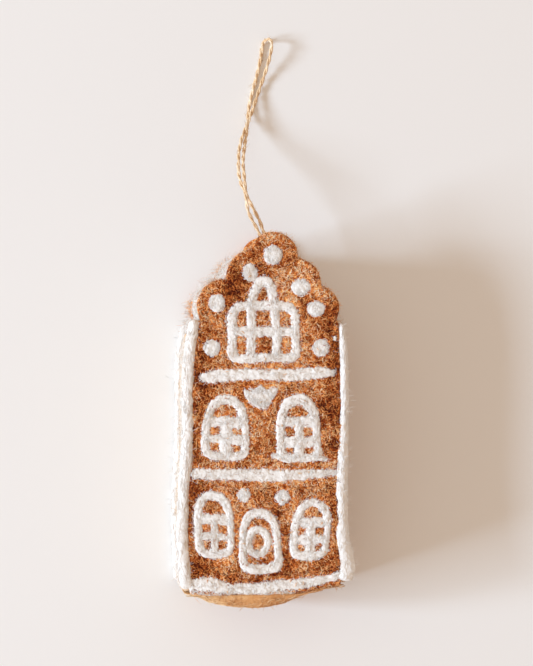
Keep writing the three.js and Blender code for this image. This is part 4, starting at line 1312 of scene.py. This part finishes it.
def lay(rng, lines, rise, stray, over=1.0):
    """Fibres in the front's plane, arched over its felt and over the share over of the white wool's
    height."""
    lift = arched(rng, len(lines), rise, stray) + over * read(dome, lines[..., 0], lines[..., 1])
    return on_panel(lines[..., 0], lines[..., 1], lift, 1)


def white_fibres(name, middles, normals, radius, tone):
    """A piece of white fibres."""
    fibres(name, middles, normals, radius, tone, white_fibre)


SKIN_PAST = RIM * np.pi / 2 + 1.2  # how far down the panels' sides their fibres go

# Brown fibres on the front: curled, lying every way, hardly any over the white strokes.
rng = np.random.default_rng(21)
roots = scattered(rng, 17000, SKIN_PAST)
clear = read(off, roots[:, 0], roots[:, 1])
roots = roots[(clear > 0.5) | (rng.random(len(roots)) < 0.012)]
count = len(roots)
room = np.clip(read(off, roots[:, 0], roots[:, 1]), 0.6, 2.4)
length = np.minimum(rng.uniform(1.3, 3.8, count), 0.6 + 2.0 * room)
lines = curls(rng, roots, rng.uniform(0, TURN, count), length, 2.7)
middles, normals = lay(rng, lines, 0.16, 0.035)
bright = rng.random(count) < 0.5
tone = np.where(bright, rng.uniform(0.72, 1.0, count), rng.uniform(0.1, 0.5, count))
tone = tone + 0.8 * (ginger_tone_and_shade(roots[:, 0], roots[:, 1]) - 0.6)
radius = np.where(bright, rng.uniform(0.08, 0.13, count), rng.uniform(0.06, 0.11, count))
fibres("front_fibres", middles, normals, radius, tone, ginger_fibre)

# The same on the back, fewer.
rng = np.random.default_rng(22)
roots = scattered(rng, 3000, SKIN_PAST)
count = len(roots)
lines = curls(rng, roots, rng.uniform(0, TURN, count), rng.uniform(2.4, 5.6, count), 1.9)
middles, normals = on_panel(lines[..., 0], lines[..., 1], arched(rng, count, 0.12, 0.03), -1)
radius = 0.05 + 0.08 * rng.random(count) ** 1.8
fibres("back_fibres", middles, normals, radius, 0.4 + 0.5 * rng.random(count), ginger_fibre)

# Short fuzz that stands off both panels' rims, a few hairs of it long.
rng = np.random.default_rng(30)


def rim_fuzz(angle, facing, longest):
    """Hairs that start on a panel's rim, at directions from the hub, and leave it along the skin's
    normal, leaning and bending sideways."""
    count = len(angle)
    far = rim_reach(angle) + rng.uniform(0.3, SKIN_PAST, count)
    place = HUB + far[:, None] * circle(angle)
    skin, normal = on_panel(place[:, 0], place[:, 1], np.full(count, -0.12), facing)
    side = np.cross(normal, [0, 0, 1]) + rng.normal(0, 0.3, (count, 3))
    long = rng.random(count) < 0.06
    length = np.where(long, rng.uniform(1.4, 2.2, count), rng.uniform(0.4, longest, count))
    lean, bend = rng.normal(0, 0.6, (count, 1, 1)), rng.normal(0, 0.7, (count, 1, 1))
    waves = ALONG * rng.uniform(0.6, 1.5, (count, 1, 1)) + rng.random((count, 1, 1))
    swing = 0.25 * np.sin(TURN * waves)
    hair = normal[:, None] * ALONG + side[:, None] * (lean * ALONG + bend * ALONG**2 + swing)
    return skin[:, None] + length[:, None, None] * hair, np.broadcast_to(side[:, None], hair.shape)


round_about = even_angles(PANEL_SIDE, 4000)
BACK_TUFTS = np.array([(-22.2, 89.3), (-13.6, 104.2)]) - HUB  # where the back's edge shows most
tuft_angles = np.arctan2(BACK_TUFTS[:, 1], BACK_TUFTS[:, 0])
made = [
    rim_fuzz(rng.choice(round_about, 2500), 1, 1.0),
    rim_fuzz(rng.choice(round_about, 300), -1, 0.9),
    rim_fuzz(rng.choice(tuft_angles, 900) + rng.normal(0, 0.03, 900), -1, 2.0),
]
middles, normals = (np.concatenate(some) for some in zip(*made))
count = len(middles)
radius = rng.uniform(0.03, 0.05, count)
fibres("rim_fuzz", middles, normals, radius, rng.uniform(0.6, 1, count), ginger_fibre)

# White fibres along every stroke, most of them with it, and about one in three over its edge into the
# brown.
rng = np.random.default_rng(23)
PER_MM = 13.5
EDGING = 0.36
spots, lengths = [], []
for name, lines in strokes.items():
    for line, ring in lines:
        count = int(len(line) * STROKE_STEP * PER_MM)
        pick = rng.integers(0, len(line), count)
        along = stroke_ways(line, ring)[pick]
        edging = rng.random(count) < EDGING
        beside = rng.choice([-0.5, 0.5], count) + rng.normal(0, 0.06, count)
        within = np.clip(rng.normal(0, 0.3, count), -0.6, 0.6)
        drift = np.where(edging, beside, within) * line[pick, 2]
        place = line[pick, :2] + drift[:, None] * leftwards(along)
        straight = rng.random(count) < 0.5
        turn = np.where(straight, rng.normal(0, 0.25, count), rng.normal(0, 1.2, count))
        heading = np.arctan2(along[:, 1], along[:, 0]) + turn + np.where(edging, np.pi / 2, 0)
        spots.append(np.column_stack([place, heading]))
        lengths.append(rng.uniform(0.8, 2.6, count) * np.where(edging, 0.72, 1))
spots = np.vstack(spots)
count = len(spots)
lines = curls(rng, spots[:, :2], spots[:, 2], np.concatenate(lengths), 1.6)
middles, normals = lay(rng, lines, 0.09, 0.02, 0.97)
white_fibres("stroke_fibres", middles, normals, rng.uniform(0.05, 0.095, count), rng.random(count) ** 0.7)

# A thin white haze that strayed from the strokes over the brown beside them.
rng = np.random.default_rng(31)
spots = spots[rng.integers(0, len(spots), 1700)]
count = len(spots)
place = spots[:, :2] + rng.normal(0, 0.8, (count, 1)) * leftwards(circle(spots[:, 2]))
lines = curls(rng, place, spots[:, 2] + rng.normal(0, 0.8, count), rng.uniform(0.9, 3.2, count), 1.4)
middles, normals = lay(rng, lines, 0.15, 0.05)
white_fibres("haze_fibres", middles, normals, rng.uniform(0.045, 0.08, count), rng.uniform(0.4, 1, count))

# White wool that strayed over the front's lower rim, up to where brown shows on the right.
rng = np.random.default_rng(33)
count = 620
place = np.stack([rng.uniform(-27, 9, count), rng.normal(0.1, 0.45, count)], axis=1)
lines = curls(rng, place, rng.normal(0, 0.9, count), rng.uniform(1.0, 2.8, count), 1.4)
middles, normals = lay(rng, lines, 0.12, 0.02)
white_fibres("hem_fibres", middles, normals, rng.uniform(0.05, 0.09, count), rng.random(count) ** 0.6)

# White fibres on the dots, wound every way.
rng = np.random.default_rng(24)
spots = []
for middle, edge in tufts.values():
    count = int(20 * (edge**2).mean())
    pick, far = rng.integers(0, len(edge), count), np.sqrt(rng.random(count)) * 1.03
    around = TURN * pick / len(edge)
    place = middle + (far * edge[pick])[:, None] * circle(around)
    spots.append(np.column_stack([place, around + np.pi / 2 + rng.normal(0, 0.9, count)]))
spots = np.vstack(spots)
count = len(spots)
lines = curls(rng, spots[:, :2], spots[:, 2], rng.uniform(1.0, 2.6, count), 1.8)
middles, normals = lay(rng, lines, 0.05, 0.02)
white_fibres("dot_fibres", middles, normals, rng.uniform(0.05, 0.09, count), rng.random(count) ** 0.45)

# Fibres on the sides, the roof and the foot.


def sheet_fibres(name, begin, end, count, seed, skin_seed, material, tone):
    """Curled fibres on a stretch of the sheet round the sides and over the top."""
    rng = np.random.default_rng(seed)
    t = rng.uniform(begin + 0.8, end - 0.8, count)
    z = rng.uniform(SHEET_BACK + 0.2, SHEET_FRONT - 0.2, count)
    heading, length = rng.uniform(0, TURN, count), rng.uniform(2.4, 5.6, count)
    lines = curls(rng, np.stack([t, z], axis=1), heading, length, 1.6)
    lines[..., 0] = np.clip(lines[..., 0], begin, end)
    lines[..., 1] = np.clip(lines[..., 1], SHEET_BACK - 0.4, SHEET_FRONT + 0.4)
    middles, normals = on_sheet(lines[..., 0], lines[..., 1], arched(rng, count, 0.2, 0.04), skin_seed)
    tone = tone + 0.24 * cloudy(middles[:, 3], 6, seed) + rng.normal(0, 0.16, count)
    radius = 0.045 + 0.07 * rng.random(count) ** 1.8
    fibres(name, middles, normals, radius, tone, material)


right_end = sheet_run[-1] - SHEET_END
# The left side's fibres are toned down the same way, as painted shade against the window's light.
sheet_fibres("left_side_fibres", SHEET_END, left_top, 2000, 25, LEFT_SEED, side_fibre, 0.6)
sheet_fibres("right_side_fibres", right_top, right_end, 2000, 26, RIGHT_SEED, side_fibre, 0.24)
sheet_fibres("roof_fibres", left_top, right_top, 2600, 27, ROOF_SEED, white_fibre, 0.3)

# White fuzz that stands up off the roof.
rng = np.random.default_rng(32)
count = 1000
t, z = rng.uniform(left_top, right_top, count), rng.uniform(SHEET_BACK, SHEET_FRONT, count)
skin, normal = on_sheet(t, z, np.full(count, -0.1), ROOF_SEED)
side = np.cross(normal, [0, 0, 1]) * rng.normal(0, 1, (count, 1))
side = side + [0, 0, 1] * rng.normal(0, 1, (count, 1))
hair = normal[:, None] * ALONG + side[:, None] * (0.5 * ALONG + 0.5 * ALONG**2)
middles = skin[:, None] + rng.uniform(0.6, 2.4, (count, 1, 1)) * hair
normals = np.broadcast_to(side[:, None], hair.shape)
white_fibres("roof_fuzz", middles, normals, rng.uniform(0.03, 0.05, count), rng.uniform(0.2, 0.6, count))

# Golden tan fibres on the foot's underside.
rng = np.random.default_rng(28)
count = 1800
x, z = rng.uniform(-25.4, 25.4, count), rng.uniform(1.6, DEPTH - 1.6, count)
heading, length = rng.uniform(0, TURN, count), rng.uniform(2.4, 5.2, count)
lines = curls(rng, np.stack([x, z], axis=1), heading, length, 1.5)
lines[..., 0] = np.clip(lines[..., 0], -26, 26)
lines[..., 1] = np.clip(lines[..., 1], 1.2, DEPTH - 1.2)
middles, normals = on_foot(lines[..., 0], lines[..., 1], arched(rng, count, 0.18, 0.04))
tone = 0.46 + rng.normal(0, 0.2, count) + foot_pale(x)
radius = 0.045 + 0.07 * rng.random(count) ** 1.8
fibres("foot_fibres", middles, normals, radius, tone, camel_fibre)

# Fibres along the corner strands, and fuzz that stands off them.
rng = np.random.default_rng(29)
parts, fuzz, whiter = [], [], []
for name, strand in strands.items():
    line, middle, half, seed = strand
    front = name.startswith("front")
    length = (len(line) - 1) * STRAND_STEP
    count = 1500 if front else 700
    t, s = rng.uniform(0.6, length - 0.6, count), rng.uniform(0, TURN, count) * half
    heading, lengths = rng.normal(0, 0.35, count), rng.uniform(1.6, 5, count)
    lines = curls(rng, np.stack([t, s], axis=1), heading, lengths, 0.9)
    lines[..., 0] = np.clip(lines[..., 0], 0.3, length - 0.3)
    parts.append(on_strand(strand, lines[..., 0], lines[..., 1] / half, arched(rng, count, 0.1, 0.03)))
    # The front right strand's fibres are whiter too: painted light.
    whiter.append(np.full(count, STRAND_LEVEL.get(name, LESS_WHITE) - LESS_WHITE))
    count = 700 if front else 300
    t, a = rng.uniform(0.1, length - 0.1, count), rng.uniform(0, TURN, count)
    skin, normal = on_strand(strand, t, a, np.full(count, -0.1))
    side = rng.normal(0, 0.6, (count, 1, 3))
    hair = normal[:, None] * ALONG + side * (ALONG + ALONG**2) / 2
    hair = skin[:, None] + rng.uniform(0.4, 1.7, (count, 1, 1)) * hair
    fuzz.append((hair, np.broadcast_to(np.cross(normal, [0.3, 1, 0.2])[:, None], hair.shape)))
middles, normals = (np.concatenate(some) for some in zip(*parts))
count = len(middles)
tone = rng.uniform(0.1, 0.75, count) + np.concatenate(whiter)
white_fibres("corner_fibres", middles, normals, rng.uniform(0.045, 0.09, count), tone)
middles, normals = (np.concatenate(some) for some in zip(*fuzz))
count = len(middles)
tone = rng.uniform(0.3, 0.9, count)
white_fibres("corner_fuzz", middles, normals, rng.uniform(0.03, 0.05, count), tone)

# The table and the light.

bpy.ops.mesh.primitive_circle_add(vertices=96, radius=2.5, fill_type="NGON")
table = bpy.context.object
table.name = "table"
pale_table = bpy.data.materials.new("pale table")
pale_table.use_nodes = True
paint = pale_table.node_tree.nodes["Principled BSDF"].inputs
paint["Base Color"].default_value = shade(240, 237, 232)
paint["Roughness"].default_value = 0.9
paint["Specular IOR Level"].default_value = 0.1
table.data.materials.append(pale_table)

AIM = np.array([0.0, 0.0, DEPTH / 2000])  # the middle of the house
LAMP_FAR = 3.6


def window_light(name, azimuth, elevation, across, high, power, color):
    """A rectangular lamp that looks at the house from azimuth, in degrees from +x towards +y, at an
    elevation. It is across by high degrees large, seen from the house."""
    lamp = bpy.data.lights.new(name, "AREA")
    lamp.shape = "RECTANGLE"
    lamp.size = 2 * LAMP_FAR * np.tan(np.radians(across) / 2)
    lamp.size_y = 2 * LAMP_FAR * np.tan(np.radians(high) / 2)
    lamp.energy = power
    lamp.color = color
    obj = bpy.data.objects.new(name, lamp)
    a, e = np.radians(azimuth), np.radians(elevation)
    way = np.array([np.cos(a) * np.cos(e), np.sin(a) * np.cos(e), np.sin(e)])
    obj.location = AIM + LAMP_FAR * way
    obj.rotation_euler = (np.pi / 2 - e, 0, a + np.pi / 2)
    bpy.context.scene.collection.objects.link(obj)


# A window on the left, brightest at its two sides, and a little light from above it.
DAYLIGHT = (0.612, 0.79, 1.0)
window_light("window", 187, 26, 10, 13, 43, DAYLIGHT)
window_light("window_far_side", 178, 25, 6, 13, 72, DAYLIGHT)
window_light("window_near_side", 196, 25, 6, 13, 41, DAYLIGHT)
window_light("skylight", 140, 60, 40, 40, 9, (0.85, 1.0, 0.98))

world = bpy.data.worlds.new("room")
bpy.context.scene.world = world
world.use_nodes = True
glow = world.node_tree.nodes["Background"].inputs
glow["Color"].default_value = (1.0, 0.79, 0.645, 1)
glow["Strength"].default_value = 0.62
bpy.context.scene.view_settings.view_transform = "Standard"
